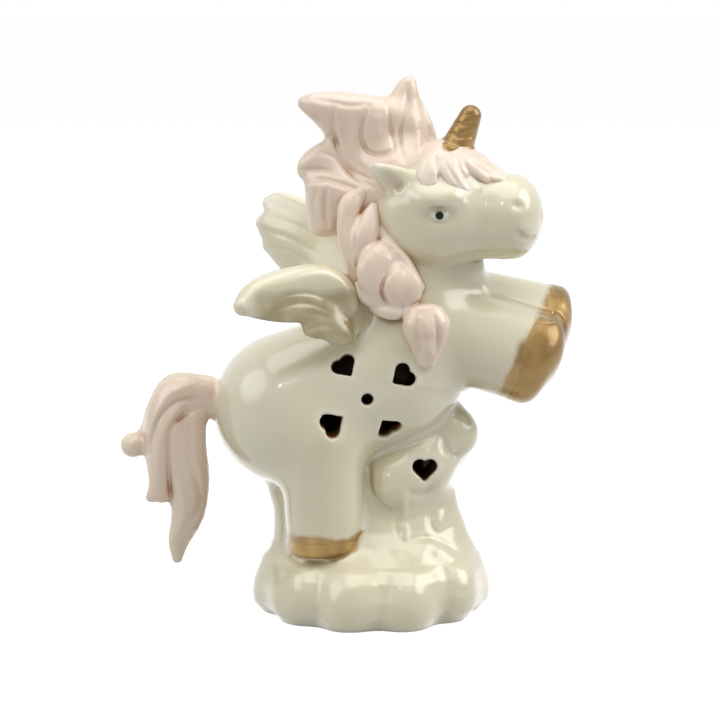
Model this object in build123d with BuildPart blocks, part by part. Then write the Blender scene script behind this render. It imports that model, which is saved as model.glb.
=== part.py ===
from build123d import *
import math
import os

# Winged unicorn night light: a slip-cast, pierced porcelain figurine that rears up over a cloud,
# with a battery lamp pushed into the foot of the cloud.
# Millimetres. The origin is the middle of the flat foot, +X is the way the unicorn faces,
# +Y is its left side, and +Z is up.

os.makedirs("parts", exist_ok=True)

# Barrel of the body: a rump ball and a chest ball with a straight skin between them
rump_radius = 19.6
chest_radius = 19.0
barrel_length = 27.0
barrel_rise_angle = 19.0
rump_height = 53.1
rump_setback = 20.8
porcelain_wall = 3.0

# Neck and head
neck_length = 42.0
neck_lean = 8.8
neck_root_radius = 16.5
head_length = 42.0
cheek_radius = 12.0
brow_radius = 10.4
head_turn_angle = 14.0
head_side_step = 3.5
ear_length = 12.0
ear_width = 7.4
ear_depth_share = 0.5
horn_length = 13.4
horn_root_radius = 4.2
horn_tip_radius = 1.8
horn_ridge = 0.4
horn_ridge_count = 4
horn_lean_angle = 22.0

# Legs
foreleg_length = 30.0
foreleg_radius = 9.1
fore_hoof_radius = 8.4
foreleg_spread = 12.0
right_foreleg_drop_angle = 19.0
left_foreleg_drop_angle = 10.5
hoof_band = 6.5
hoof_round = 1.8
hind_leg_length = 28.5
hind_leg_radius = 9.4
thigh_radius = 10.5
hind_leg_spread = 21.4
hind_leg_setback = 12.0
hind_hoof_band = 5.6

# Cloud under the figure, with the lamp's socket and the light well
base_length = 61.0
base_width = 58.0
base_height = 18.4
base_puff_radius = 8.0
column_height = 34.0
column_length = 46.0
column_width = 22.0
column_lobe_radius = 7.8
light_well_radius = 6.0
light_well_offset = 7.0

# Pierced hearts and the round hole among them
heart_size = 6.3
hole_diameter = 3.0
heart_ring_radius = 10.1
heart_ring_turn_angle = -30.5
heart_ring_along_share = 0.72
heart_ring_lift_angle = -4.5

# Wings
wing_length = 34.0
feather_depth_share = 0.42
wing_arm_radius = 2.7
right_wing_sweep_angle = 25.8
right_wing_rise_angle = 1.8
right_wing_tilt_angle = 23.0
left_wing_sweep_angle = 33.7
left_wing_rise_angle = 39.8
left_wing_tilt_angle = 16.0

# Hair: the length of each lock along its path and its width at the widest
crest_length = 20.5
crest_width = 13.8
sweep_length = 31.0
sweep_width = 15.2
ruff_length = 25.5
ruff_width = 13.4
nape_length = 19.0
nape_width = 13.4
back_lock_length = 27.0
back_lock_width = 14.0
far_lock_length = 27.0
far_lock_width = 11.0
crown_radius = 11.0
forelock_width = 6.8
forelock_depth_share = 0.6
braid_length = 27.0
braid_strand_width = 7.4
tassel_length = 17.5
tassel_width = 11.2
tail_length = 49.3
tail_width = 11.8
tail_middle_length = 36.7
tail_middle_width = 8.4
tail_curl_length = 27.8
tail_curl_width = 7.4

# Lamp unit in the foot
lamp_radius = 15.5
lamp_height = 11.8
lamp_recess = 1.0
lamp_wall = 1.4
flange_step = 1.5
flange_thickness = 1.0
socket_clearance = 0.5
socket_headroom = 2.0
seat_clearance = 0.2
grip_ring_height = 2.4
grip_ring_proud = 0.3
lens_thickness = 1.4
lens_dome_height = 1.4
lens_dome_radius = 7.0
board_thickness = 1.2
board_height = 6.4
led_side = 3.0
led_height = 1.5
led_circle = 4.0
cell_radius = 10.0
cell_thickness = 3.2
cell_offset = 3.5
contact_width = 3.2
contact_thickness = 0.35
cover_margin = 0.6
cover_clearance = 0.2
cover_neck = 4.4
screw_x = 9.5
screw_y = 5.5
screw_radius = 0.95
screw_head_radius = 1.7
screw_head_height = 0.8
screw_length = 4.2
screw_lobe_radius = 2.8
screw_boss_height = 3.6
switch_length = 7.0
switch_width = 3.4
switch_height = 3.0
switch_x = 10.1
switch_y = -3.6
slider_length = 2.2
slider_width = 1.6
slider_travel = 2.0
slider_clearance = 0.15
slider_depth = 1.0
running_clearance = 0.1

# Where the forms stand
barrel_rise = math.radians(barrel_rise_angle)
barrel_axis = Vector(math.cos(barrel_rise), 0, math.sin(barrel_rise))
rump = Vector(-rump_setback, 0, rump_height)
chest = rump + barrel_axis * barrel_length
neck_reach = Vector(neck_lean, -head_side_step, math.sqrt(neck_length**2 - neck_lean**2))
cheek = chest + neck_reach
head_turn = math.radians(head_turn_angle)
head_axis = Vector(math.cos(head_turn), -math.sin(head_turn), 0)
head_side = Vector(math.sin(head_turn), math.cos(head_turn), 0)
upright = Vector(0, 0, 1)
leftward = Vector(0, 1, 0)
half_turn = math.sqrt(1 / 2)


def at(origin, scale, share):
    """A point given as shares of one size, measured from the origin of its form."""
    return origin + Vector(share[0], share[1], share[2]) * scale


def on_head(along_share, side_share, up_share):
    """A point on the head, in shares of the cheek's radius: ahead, to its left, and up."""
    return cheek + (head_axis * along_share + head_side * side_share + upright * up_share) * cheek_radius


def lock(points, width, width_shares, depth_share, facing=leftward):
    """A lock of hair, an ear or a feather: ellipses along a bent path, lofted into one solid."""
    last = len(points) - 1
    with BuildPart() as strand:
        for step, point in enumerate(points):
            along = (points[min(step + 1, last)] - points[max(step - 1, 0)]).normalized()
            across = along.cross(facing).normalized()
            half = width / 2 * width_shares[step]
            with BuildSketch(Plane(point, x_dir=across, z_dir=along)):
                Ellipse(half, half * depth_share)
        loft()
    return strand.part


def hair(root, length, width, depth_share, path_shares):
    """A lock whose path and widths are shares of its own length and width."""
    points = [at(root, length, share) for share in path_shares]
    return lock(points, width, [share[3] for share in path_shares], depth_share)


def ball(centre, radius):
    """A ball at a point."""
    with BuildPart() as lump:
        Sphere(radius)
    return lump.part.moved(Location(centre))


def turned(origin, axis, outline):
    """A solid of revolution: the outline function draws distance along the axis and radius."""
    across = axis.cross(leftward).normalized()
    with BuildPart() as body:
        with BuildSketch(Plane(origin, x_dir=axis, z_dir=axis.cross(across))):
            with BuildLine():
                outline()
            make_face()
        revolve(axis=Axis(origin, axis))
    return body.part


def boxes_meet(shape, other):
    """Whether two shapes' boxes overlap, so that only true neighbours are cut."""
    a = shape.bounding_box()
    b = other.bounding_box()
    level = a.min.X <= b.max.X and b.min.X <= a.max.X and a.min.Y <= b.max.Y and b.min.Y <= a.max.Y
    return level and a.min.Z <= b.max.Z and b.min.Z <= a.max.Z


def less(shape, *others):
    """A shape with its neighbours' room cut out, so that it seats on them face to face."""
    with BuildPart() as piece:
        add(shape)
        for other in others:
            if boxes_meet(shape, other):
                add(other, mode=Mode.SUBTRACT)
    return piece.part.solids().sort_by(SortBy.VOLUME)[-1]


def joined(*shapes):
    """Several forms cast as one piece."""
    with BuildPart() as piece:
        for shape in shapes:
            add(shape)
    return piece.part


def write(name, shape):
    """Label a finished piece and write it under its node's name."""
    with BuildPart() as piece:
        add(shape)
    piece.part.label = name
    export_step(piece.part, f"parts/{name}.step")


# Torso: the hollow barrel, pierced on the right side
def barrel(shrink):
    """Two balls and the cone that touches both: the outside, or the hollow when shrunk by the wall."""
    rear = rump_radius - shrink
    front = chest_radius - shrink
    slope = math.asin((rear - front) / barrel_length)
    lead = math.sin(slope)
    lift = math.cos(slope)

    def outline():
        rear_touch = (rear * lead, rear * lift)
        front_touch = (barrel_length + front * lead, front * lift)
        nose = (barrel_length + front, 0)
        ThreePointArc((-rear, 0), (-rear * half_turn, rear * half_turn), rear_touch)
        Line(rear_touch, front_touch)
        ThreePointArc(front_touch, (barrel_length + front * half_turn, front * half_turn), nose)
        Line(nose, (-rear, 0))

    return turned(rump, barrel_axis, outline)


def right_skin(along, lift_angle):
    """A point on the barrel's right side and the way out of the skin there."""
    radius = rump_radius + (chest_radius - rump_radius) * along / barrel_length
    out = leftward * -math.cos(lift_angle) + barrel_axis.cross(leftward) * math.sin(lift_angle)
    return rump + barrel_axis * along + out * radius, out


def heart_punch(place, depth):
    """A heart-shaped punch through a wall, its tip along the plane's -Y."""
    side = heart_size / (half_turn + 1)
    shoulder = side * math.sqrt(1 / 8)
    with BuildPart() as punch:
        with BuildSketch(place):
            Rectangle(side, side, rotation=45)
            with Locations((-shoulder, shoulder), (shoulder, shoulder)):
                Circle(side / 2)
        extrude(amount=depth, both=True)
    return punch.part


ring_along = barrel_length * heart_ring_along_share
ring_lift = math.radians(heart_ring_lift_angle)
ring_middle, ring_out = right_skin(ring_along, ring_lift)
heart_places = []
for quarter in range(4):
    bearing = math.radians(heart_ring_turn_angle + 45 + 90 * quarter)
    spot, out = right_skin(
        ring_along + heart_ring_radius * math.cos(bearing),
        ring_lift + heart_ring_radius * math.sin(bearing) / rump_radius,
    )
    outward = spot - ring_middle
    upward = (outward - out * outward.dot(out)).normalized()
    heart_places.append(Plane(spot, x_dir=upward.cross(out), z_dir=out))

torso_skin = barrel(0)
torso_hollow = barrel(porcelain_wall)
with BuildPart() as torso_shell:
    add(torso_skin)
    add(torso_hollow, mode=Mode.SUBTRACT)
    for place in heart_places:
        add(heart_punch(place, porcelain_wall * 2), mode=Mode.SUBTRACT)
    with BuildSketch(Plane(ring_middle, z_dir=ring_out)):
        Circle(hole_diameter / 2)
    extrude(amount=porcelain_wall * 2, both=True, mode=Mode.SUBTRACT)
    with BuildSketch(Plane.XY.offset(rump_height - rump_radius)):
        with Locations((light_well_offset, 0)):
            Circle(light_well_radius)
    extrude(amount=rump_radius, mode=Mode.SUBTRACT)
torso = torso_shell.part.solids().sort_by(SortBy.VOLUME)[-1]
write("torso_shell", torso)

# Head: a turned cheek and muzzle with a round brow
# Each station of the profile: ahead, a share of the head's length, and out, a share of the cheek's radius.
head_profile_shares = [
    (-0.285, 0.12),
    (-0.26, 0.55),
    (-0.13, 0.90),
    (0.0, 1.0),
    (0.2, 0.97),
    (0.38, 0.91),
    (0.5, 0.91),
    (0.585, 0.86),
    (0.65, 0.69),
    (0.695, 0.42),
    (0.715, 0.12),
]
brow_shares = (0.46, -0.02, 0.72)


def head_outline():
    profile = [(head_length * along, cheek_radius * radius) for along, radius in head_profile_shares]
    back = profile[0]
    front = profile[-1]
    Spline(*profile)
    Polyline(front, (front[0], 0), (back[0], 0), back)


head = joined(turned(cheek, head_axis, head_outline), ball(on_head(*brow_shares), brow_radius))
write("head", head)

# Ears and horn
ear_root_shares = (-0.22, 0.72, 0.56)
ear_path_shares = [
    (0.0, 0.0, 0.0, 0.9),
    (-0.24, 0.12, 0.22, 1.0),
    (-0.5, 0.22, 0.42, 0.62),
    (-0.7, 0.28, 0.58, 0.2),
]


def ear(side):
    """An ear leaning back from the side of the brow: side is -1 for the right and 1 for the left."""
    root = on_head(ear_root_shares[0], ear_root_shares[1] * side, ear_root_shares[2])
    points = [
        root + (head_axis * ahead + head_side * (out * side) + upright * up) * ear_length
        for ahead, out, up, width in ear_path_shares
    ]
    return less(lock(points, ear_width, [share[3] for share in ear_path_shares], ear_depth_share), head)


right_ear = ear(-1)
left_ear = ear(1)
write("right_ear", right_ear)
write("left_ear", left_ear)

horn_root_shares = (0.65, 0.0, 1.25)
horn_lean = math.radians(horn_lean_angle)
horn_axis = head_axis * math.sin(horn_lean) + upright * math.cos(horn_lean)


def horn_outline():
    step = horn_length / horn_ridge_count
    taper = (horn_root_radius - horn_tip_radius) / horn_ridge_count
    root = (0, 0)
    valley = (0, horn_root_radius)
    Line(root, valley)
    for turn in range(1, horn_ridge_count):
        top = (step * turn, horn_root_radius - taper * turn)
        middle = (step * (turn - 1 / 2), horn_root_radius - taper * (turn - 1 / 2) + horn_ridge)
        ThreePointArc(valley, middle, top)
        valley = top
    shoulder = (horn_length - horn_tip_radius / 2, horn_tip_radius)
    crest = (horn_length, horn_tip_radius / 2)
    tip = (horn_length, 0)
    Line(valley, shoulder)
    ThreePointArc(shoulder, (horn_length - horn_tip_radius / 7, horn_tip_radius * 6 / 7), crest)
    Line(crest, tip)
    Line(tip, root)


horn = less(turned(on_head(*horn_root_shares), horn_axis, horn_outline), head)
write("horn", horn)


# Legs: tapered, with a gilt hoof as the last stretch of each
def leg_and_hoof(root, foot, root_radius, foot_radius, band):
    """The leg and the hoof of one turned limb that ends flat, with a rounded rim."""
    reach = foot - root
    length = reach.length
    axis = reach.normalized()
    band_start = length - band
    band_radius = root_radius + (foot_radius - root_radius) * band_start / length
    rim = hoof_round * half_turn

    def leg_outline():
        pole = (-root_radius, 0)
        widest = (0, root_radius)
        ThreePointArc(pole, (-root_radius * half_turn, root_radius * half_turn), widest)
        Polyline(widest, (band_start, band_radius), (band_start, 0), pole)

    def hoof_outline():
        Polyline((band_start, 0), (band_start, band_radius), (length - hoof_round, foot_radius))
        ThreePointArc(
            (length - hoof_round, foot_radius),
            (length - hoof_round + rim, foot_radius - hoof_round + rim),
            (length, foot_radius - hoof_round),
        )
        Polyline((length, foot_radius - hoof_round), (length, 0), (band_start, 0))

    return turned(root, axis, leg_outline), turned(root, axis, hoof_outline)


def foreleg(side, drop_angle, root_shares):
    """A foreleg held out ahead of the chest: side is -1 for the right and 1 for the left."""
    drop = math.radians(drop_angle)
    spread = Vector(0, side * foreleg_spread / 2, 0)
    root = chest + spread + Vector(root_shares[0], 0, root_shares[1]) * chest_radius
    foot = root + Vector(math.cos(drop), 0, -math.sin(drop)) * foreleg_length
    return leg_and_hoof(root, foot, foreleg_radius, fore_hoof_radius, hoof_band)


def hind_leg(side):
    """A hind leg under the rump: side is -1 for the right and 1 for the left."""
    hip_height = rump_height - rump_radius * hip_drop_share
    foot = Vector(-hind_leg_setback, side * hind_leg_spread / 2, hip_height - hind_leg_length)
    root = foot + Vector(-hip_setback_share * hind_leg_length, 0, hind_leg_length)
    return leg_and_hoof(root, foot, thigh_radius, hind_leg_radius, hind_hoof_band)


right_foreleg_root_shares = (0.52, 0.56)
left_foreleg_root_shares = (0.87, 0.96)
hip_drop_share = 0.36
hip_setback_share = 0.04
right_foreleg_form, right_fore_hoof = foreleg(-1, right_foreleg_drop_angle, right_foreleg_root_shares)
left_foreleg_form, left_fore_hoof_form = foreleg(1, left_foreleg_drop_angle, left_foreleg_root_shares)
right_hind_leg_form, right_hind_hoof = hind_leg(-1)
left_hind_leg_form, left_hind_hoof_form = hind_leg(1)
right_foreleg = less(right_foreleg_form, torso_skin)
right_hind_leg = less(right_hind_leg_form, torso_skin)
limbs = {
    "right_foreleg": right_foreleg,
    "right_fore_hoof": right_fore_hoof,
    "left_foreleg": less(left_foreleg_form, torso_skin, right_foreleg_form, right_fore_hoof),
    "left_fore_hoof": less(left_fore_hoof_form, right_foreleg_form, right_fore_hoof),
    "right_hind_leg": right_hind_leg,
    "right_hind_hoof": right_hind_hoof,
    "left_hind_leg": less(left_hind_leg_form, torso_skin, right_hind_leg),
    "left_hind_hoof": less(left_hind_hoof_form, right_hind_hoof),
}
for limb_name, limb in limbs.items():
    write(limb_name, limb)

# Neck: from inside the chest to inside the cheek
neck_shares = [(0.12, 1.0), (0.45, 0.9), (0.72, 0.78), (1.0, 0.7)]
with BuildPart() as neck_form:
    for reach_share, radius_share in neck_shares:
        with BuildSketch(Plane(chest + neck_reach * reach_share, z_dir=neck_reach.normalized())):
            Circle(neck_root_radius * radius_share)
    loft()
neck = less(neck_form.part, torso_skin, head, right_foreleg, limbs["left_foreleg"])
write("neck", neck)

# Cloud column: holds the belly between the hind legs, with a light well and one heart
# Stations of the column: up, shift along X, length and width; lobes: ahead, to the left, up and size.
column_shares = [
    (0.0, 0.02, 1.0, 1.0),
    (0.24, -0.02, 0.96, 0.9),
    (0.5, -0.08, 0.98, 0.8),
    (1.0, 0.0, 1.0, 0.8),
]
column_lobe_shares = [
    (0.46, -0.16, 0.83, 0.8),
    (0.29, -0.26, 0.62, 1.05),
    (0.15, -0.42, 0.5, 0.95),
    (0.4, 0.3, 0.7, 1.0),
]
with BuildPart() as column_form:
    for rise, shift, length_share, width_share in column_shares:
        with BuildSketch(Plane((column_length * shift, 0, base_height + column_height * rise))):
            Ellipse(column_length / 2 * length_share, column_width / 2 * width_share)
    loft()
    for ahead, side, rise, size in column_lobe_shares:
        lobe_height = base_height + column_height * rise
        add(ball(Vector(column_length * ahead, column_width * side, lobe_height), column_lobe_radius * size))
with BuildPart() as light_well:
    with Locations((light_well_offset, 0, lamp_recess + lamp_height)):
        Cylinder(light_well_radius, rump_height - lamp_recess, align=(Align.CENTER, Align.CENTER, Align.MIN))
column_heart_shares = (0.13, 0.59)
column_heart_x = light_well_offset + column_length * column_heart_shares[0]
column_heart_height = base_height + column_height * column_heart_shares[1]
column_heart_spot = (column_heart_x, -column_width / 2, column_heart_height)
column_heart = heart_punch(Plane(column_heart_spot, x_dir=(1, 0, 0), z_dir=(0, -1, 0)), column_width / 2)
cloud_column = less(column_form.part, torso_skin, *limbs.values(), light_well.part, column_heart)
write("cloud_column", cloud_column)

# Cloud base: a ring of puffs round a mound, bored for the lamp
mound_shares = [(0.0, 0.82, 0.82), (0.4, 0.93, 0.9), (0.75, 0.88, 0.8), (1.0, 0.78, 0.6)]
# Puffs round the mound: bearing, radius and height of the middle over the floor.
puff_shares = [
    (0, 0.9, 0.8),
    (38, 0.95, 0.8),
    (74, 1.02, 0.86),
    (110, 0.97, 0.8),
    (146, 1.0, 0.84),
    (182, 0.84, 0.84),
    (218, 0.94, 0.8),
    (252, 1.05, 0.68),
    (288, 0.98, 0.66),
    (324, 0.98, 0.86),
]
with BuildPart() as base_form:
    for rise, length_share, width_share in mound_shares:
        with BuildSketch(Plane.XY.offset(base_height * rise)):
            Ellipse(base_length / 2 * length_share, base_width / 2 * width_share)
    loft()
    for bearing_angle, size, lift in puff_shares:
        radius = base_puff_radius * size
        bearing = math.radians(bearing_angle)
        ahead = (base_length / 2 - radius) * math.cos(bearing)
        aside = (base_width / 2 - radius) * math.sin(bearing)
        add(ball(Vector(ahead, aside, radius * lift), radius))
    split(bisect_by=Plane.XY, keep=Keep.TOP)
socket_radius = lamp_radius + socket_clearance
socket_top = lamp_recess + lamp_height + socket_headroom
with BuildPart() as lamp_socket:
    with BuildSketch():
        Circle(socket_radius)
    extrude(amount=socket_top)
    with BuildSketch():
        Circle(socket_radius + flange_step)
    extrude(amount=lamp_recess + flange_thickness + seat_clearance)
cloud_base = less(base_form.part, cloud_column, *limbs.values(), lamp_socket.part, light_well.part)
write("cloud_base", cloud_base)

# Wings: an arm along the top edge and feathers that fan out below it
# Each row is ahead along the wing, up across it, and the half width, all shares of the wing's length.
right_feather_shares = [
    [
        (-0.06, 0.08, 0.19),
        (0.16, 0.12, 0.2),
        (0.42, 0.13, 0.2),
        (0.66, 0.12, 0.185),
        (0.86, 0.085, 0.12),
        (0.985, 0.04, 0.03),
    ],
    [(-0.04, -0.03, 0.13), (0.2, -0.08, 0.13), (0.36, -0.115, 0.09), (0.46, -0.14, 0.03)],
    [(-0.08, -0.1, 0.13), (0.08, -0.17, 0.12), (0.19, -0.23, 0.07), (0.26, -0.26, 0.03)],
]
right_arm_shares = [
    (-0.08, 0.24, 1.0),
    (0.2, 0.28, 1.0),
    (0.5, 0.27, 0.95),
    (0.74, 0.21, 0.75),
    (0.92, 0.12, 0.4),
]
left_feather_shares = [
    [
        (-0.06, 0.1, 0.15),
        (0.2, 0.16, 0.17),
        (0.46, 0.16, 0.15),
        (0.7, 0.1, 0.11),
        (0.86, 0.04, 0.08),
        (0.955, -0.01, 0.03),
    ],
    [(-0.06, 0.0, 0.14), (0.3, 0.0, 0.14), (0.6, -0.06, 0.11), (0.8, -0.12, 0.08), (0.89, -0.16, 0.03)],
    [(-0.06, -0.1, 0.14), (0.24, -0.12, 0.13), (0.5, -0.18, 0.09), (0.7, -0.235, 0.03)],
    [(-0.1, -0.16, 0.12), (0.14, -0.19, 0.1), (0.32, -0.23, 0.06), (0.42, -0.26, 0.03)],
]
left_arm_shares = [
    (-0.06, 0.2, 0.9),
    (0.2, 0.27, 0.95),
    (0.44, 0.26, 0.9),
    (0.66, 0.18, 0.65),
    (0.84, 0.1, 0.4),
]
right_wing_root_shares = (-0.46, -0.79, 0.95)
left_wing_root_shares = (-0.56, 0.63, 1.16)


def wing(side, angles, root_shares, feather_shares, arm_shares):
    """A wing swept back from the shoulder: side is -1 for the right and 1 for the left."""
    sweep, rise, tilt = [math.radians(angle) for angle in angles]
    reach = Vector(-math.cos(rise) * math.cos(sweep), side * math.cos(rise) * math.sin(sweep), math.sin(rise))
    level = (upright - reach * reach.dot(upright)).normalized()
    broad = level * math.cos(tilt) + reach.cross(level) * math.sin(tilt)
    facing = reach.cross(broad)
    root = at(chest, chest_radius, root_shares)
    feathers = []
    for row in feather_shares:
        points = [root + (reach * ahead + broad * up) * wing_length for ahead, up, half in row]
        halves = [half for ahead, up, half in row]
        feathers.append(lock(points, wing_length * 2, halves, feather_depth_share, facing))
    points = [root + (reach * ahead + broad * up) * wing_length for ahead, up, size in arm_shares]
    arm = lock(points, wing_arm_radius * 2, [size for ahead, up, size in arm_shares], 1.0, facing)
    return joined(arm, *feathers)


right_wing_angles = (right_wing_sweep_angle, right_wing_rise_angle, right_wing_tilt_angle)
left_wing_angles = (left_wing_sweep_angle, left_wing_rise_angle, left_wing_tilt_angle)
right_wing_form = wing(-1, right_wing_angles, right_wing_root_shares, right_feather_shares, right_arm_shares)
left_wing_form = wing(1, left_wing_angles, left_wing_root_shares, left_feather_shares, left_arm_shares)
right_wing = less(right_wing_form, torso_skin, neck)
left_wing = less(left_wing_form, torso_skin, neck)
write("right_wing", right_wing)
write("left_wing", left_wing)

# Hair: each row is ahead, to the left and up, in shares of the lock's length, and the width's share
crest_shares = [
    (0.0, 0.0, 0.0, 1.0),
    (-0.08, 0.0, 0.36, 0.93),
    (-0.12, -0.03, 0.63, 0.66),
    (-0.1, -0.05, 0.84, 0.4),
    (-0.04, -0.05, 0.96, 0.18),
]
sweep_shares = [
    (0.0, 0.0, 0.0, 1.0),
    (-0.25, 0.0, 0.25, 1.0),
    (-0.49, 0.0, 0.39, 0.82),
    (-0.69, -0.02, 0.475, 0.47),
    (-0.82, -0.03, 0.52, 0.17),
]
ruff_shares = [
    (0.0, 0.0, 0.0, 1.0),
    (-0.34, 0.0, 0.14, 1.0),
    (-0.62, 0.0, 0.22, 0.77),
    (-0.82, 0.0, 0.17, 0.5),
    (-0.91, -0.02, 0.09, 0.2),
]
nape_shares = [
    (0.0, 0.0, 0.0, 0.92),
    (-0.41, 0.0, -0.12, 1.0),
    (-0.74, 0.0, -0.16, 1.0),
    (-0.96, 0.0, -0.16, 0.88),
]
back_lock_shares = [
    (0.0, 0.0, 0.0, 0.8),
    (-0.16, 0.02, -0.26, 1.0),
    (-0.22, 0.05, -0.52, 0.9),
    (-0.2, 0.06, -0.76, 0.6),
    (-0.14, 0.06, -0.94, 0.25),
]
far_lock_shares = [
    (0.0, 0.0, 0.0, 0.7),
    (-0.12, 0.2, -0.22, 1.0),
    (-0.16, 0.3, -0.48, 0.95),
    (-0.1, 0.33, -0.72, 0.6),
    (0.0, 0.31, -0.9, 0.22),
]
forelock_rows = [
    (
        "forelock_side",
        (-0.4, -0.8, 0.45),
        [
            (-0.04, -0.5, 0.84, 0.6),
            (-0.38, -0.79, 0.54, 1.0),
            (-0.54, -0.86, 0.22, 0.9),
            (-0.56, -0.86, -0.07, 0.35),
        ],
    ),
    (
        "forelock_middle",
        (0.1, -0.9, 0.4),
        [
            (0.0, -0.58, 0.8, 0.6),
            (0.05, -0.91, 0.48, 1.0),
            (0.26, -0.98, 0.13, 0.8),
            (0.46, -0.94, -0.12, 0.25),
        ],
    ),
    (
        "forelock_front",
        (0.2, -0.6, 0.75),
        [
            (0.28, -0.4, 0.86, 0.6),
            (0.63, -0.5, 0.62, 1.0),
            (1.02, -0.46, 0.36, 0.9),
            (1.38, -0.46, 0.2, 0.3),
        ],
    ),
    (
        "forelock_far",
        (0.0, 0.8, 0.5),
        [
            (0.05, 0.45, 0.88, 0.6),
            (-0.1, 0.86, 0.54, 1.0),
            (-0.1, 1.0, 0.22, 0.9),
            (-0.02, 1.0, -0.1, 0.35),
        ],
    ),
]
crown_shares = [(-0.55, 0.0, 0.75, 1.0), (-0.35, 0.25, 0.6, 0.95)]
hair_rows = [
    ("mane_crest_tuft", (-0.25, 0.1, 1.2), crest_length, crest_width, 0.8, crest_shares),
    ("mane_sweep_tuft", (-0.5, 0.06, 1.05), sweep_length, sweep_width, 0.8, sweep_shares),
    ("mane_ruff_tuft", (-0.7, 0.06, 0.68), ruff_length, ruff_width, 0.8, ruff_shares),
    ("mane_nape_tuft", (-0.9, 0.12, 0.38), nape_length, nape_width, 0.8, nape_shares),
    ("mane_back_lock", (-0.8, 0.4, 0.3), back_lock_length, back_lock_width, 0.9, back_lock_shares),
    ("mane_far_lock", (-0.5, 0.8, 0.5), far_lock_length, far_lock_width, 0.6, far_lock_shares),
]
braid_shares = [
    [
        (0.0, 0.0, 0.0, 0.5),
        (-0.19, -0.11, -0.1, 0.9),
        (-0.28, -0.19, -0.32, 0.72),
        (-0.26, -0.23, -0.54, 0.7),
        (-0.18, -0.26, -0.78, 0.4),
    ],
    [
        (0.04, -0.04, -0.08, 0.4),
        (-0.07, -0.15, -0.2, 0.84),
        (-0.17, -0.24, -0.39, 0.9),
        (-0.23, -0.26, -0.58, 0.4),
    ],
    [
        (0.1, -0.15, -0.44, 0.4),
        (0.0, -0.3, -0.58, 1.1),
        (-0.1, -0.35, -0.74, 1.1),
        (-0.19, -0.36, -0.93, 0.45),
    ],
    [
        (0.28, -0.22, -0.6, 0.4),
        (0.2, -0.33, -0.72, 1.0),
        (0.12, -0.41, -0.88, 1.04),
        (0.05, -0.41, -1.04, 0.4),
    ],
    [
        (0.45, -0.26, -0.69, 0.4),
        (0.38, -0.34, -0.81, 0.84),
        (0.32, -0.41, -0.94, 0.84),
        (0.24, -0.42, -1.05, 0.4),
    ],
    [
        (-0.23, -0.18, -0.73, 0.4),
        (-0.17, -0.3, -0.87, 0.7),
        (-0.06, -0.37, -0.99, 0.7),
        (0.05, -0.39, -1.09, 0.4),
    ],
    [
        (-0.04, -0.36, -1.02, 0.3),
        (0.09, -0.42, -1.07, 0.62),
        (0.22, -0.44, -1.1, 0.62),
        (0.34, -0.4, -1.11, 0.35),
    ],
]
braid_root_shares = (-1.05, -0.45, 0.56)
tassel_shares = [
    (0.0, 0.0, 0.0, 0.4),
    (0.05, -0.16, -0.2, 1.0),
    (0.06, -0.19, -0.47, 0.92),
    (0.05, -0.16, -0.7, 0.6),
    (0.04, -0.13, -0.9, 0.24),
]
tassel_root_shares = (0.12, -1.2, -1.66)
strand_depth_share = 0.8
tassel_depth_share = 0.72

hair_neighbours = [head, neck, torso_skin, right_ear, left_ear, horn, *limbs.values(), right_wing, left_wing]


def plant(name, form):
    """Seat a lock on all that was made before it, write it, and keep it as a neighbour for the next."""
    piece = less(form, *hair_neighbours)
    write(name, piece)
    hair_neighbours.append(piece)


brow = on_head(*brow_shares)
for name, facing_shares, path_shares in forelock_rows:
    points = [at(brow, brow_radius, share) for share in path_shares]
    widths = [share[3] for share in path_shares]
    plant(name, lock(points, forelock_width, widths, forelock_depth_share, Vector(*facing_shares)))
for name, root_shares, length, width, depth_share, path_shares in hair_rows:
    if name == "mane_crest_tuft":
        crown = [ball(on_head(*share[:3]), crown_radius * share[3]) for share in crown_shares]
        plant("mane_crown", joined(*crown))
    plant(name, hair(on_head(*root_shares), length, width, depth_share, path_shares))
braid_root = on_head(*braid_root_shares)
strands = [hair(braid_root, braid_length, braid_strand_width, strand_depth_share, row) for row in braid_shares]
plant("braid", joined(*strands))
tassel_root = on_head(*tassel_root_shares)
plant("braid_tassel", hair(tassel_root, tassel_length, tassel_width, tassel_depth_share, tassel_shares))

tail_long_shares = [
    (0.0, 0.0, 0.0, 0.8),
    (-0.1, 0.0, 0.01, 0.87),
    (-0.18, -0.02, -0.08, 0.96),
    (-0.19, -0.04, -0.23, 1.0),
    (-0.17, -0.04, -0.4, 0.96),
    (-0.17, -0.02, -0.58, 0.74),
    (-0.22, 0.0, -0.73, 0.48),
    (-0.23, 0.0, -0.84, 0.18),
]
tail_middle_shares = [
    (0.0, 0.0, 0.0, 0.85),
    (-0.18, -0.05, 0.01, 1.0),
    (-0.28, -0.08, -0.17, 1.0),
    (-0.28, -0.08, -0.39, 0.93),
    (-0.3, -0.05, -0.61, 0.68),
    (-0.38, -0.03, -0.75, 0.3),
]
tail_curl_shares = [
    (0.12, 0.0, 0.0, 0.7),
    (-0.24, 0.0, 0.0, 0.86),
    (-0.41, -0.04, -0.18, 0.86),
    (-0.44, -0.07, -0.4, 1.0),
    (-0.53, -0.11, -0.54, 0.92),
    (-0.64, -0.14, -0.5, 0.42),
]
tail_depth_share = 0.88
tail_rows = [
    ("tail_long_lock", (-0.92, 0.0, 0.09), tail_length, tail_width, tail_long_shares),
    ("tail_middle_lock", (-1.13, -0.1, 0.235), tail_middle_length, tail_middle_width, tail_middle_shares),
    ("tail_curl_lock", (-1.23, 0.14, 0.285), tail_curl_length, tail_curl_width, tail_curl_shares),
]
tail_neighbours = [torso_skin]
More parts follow.
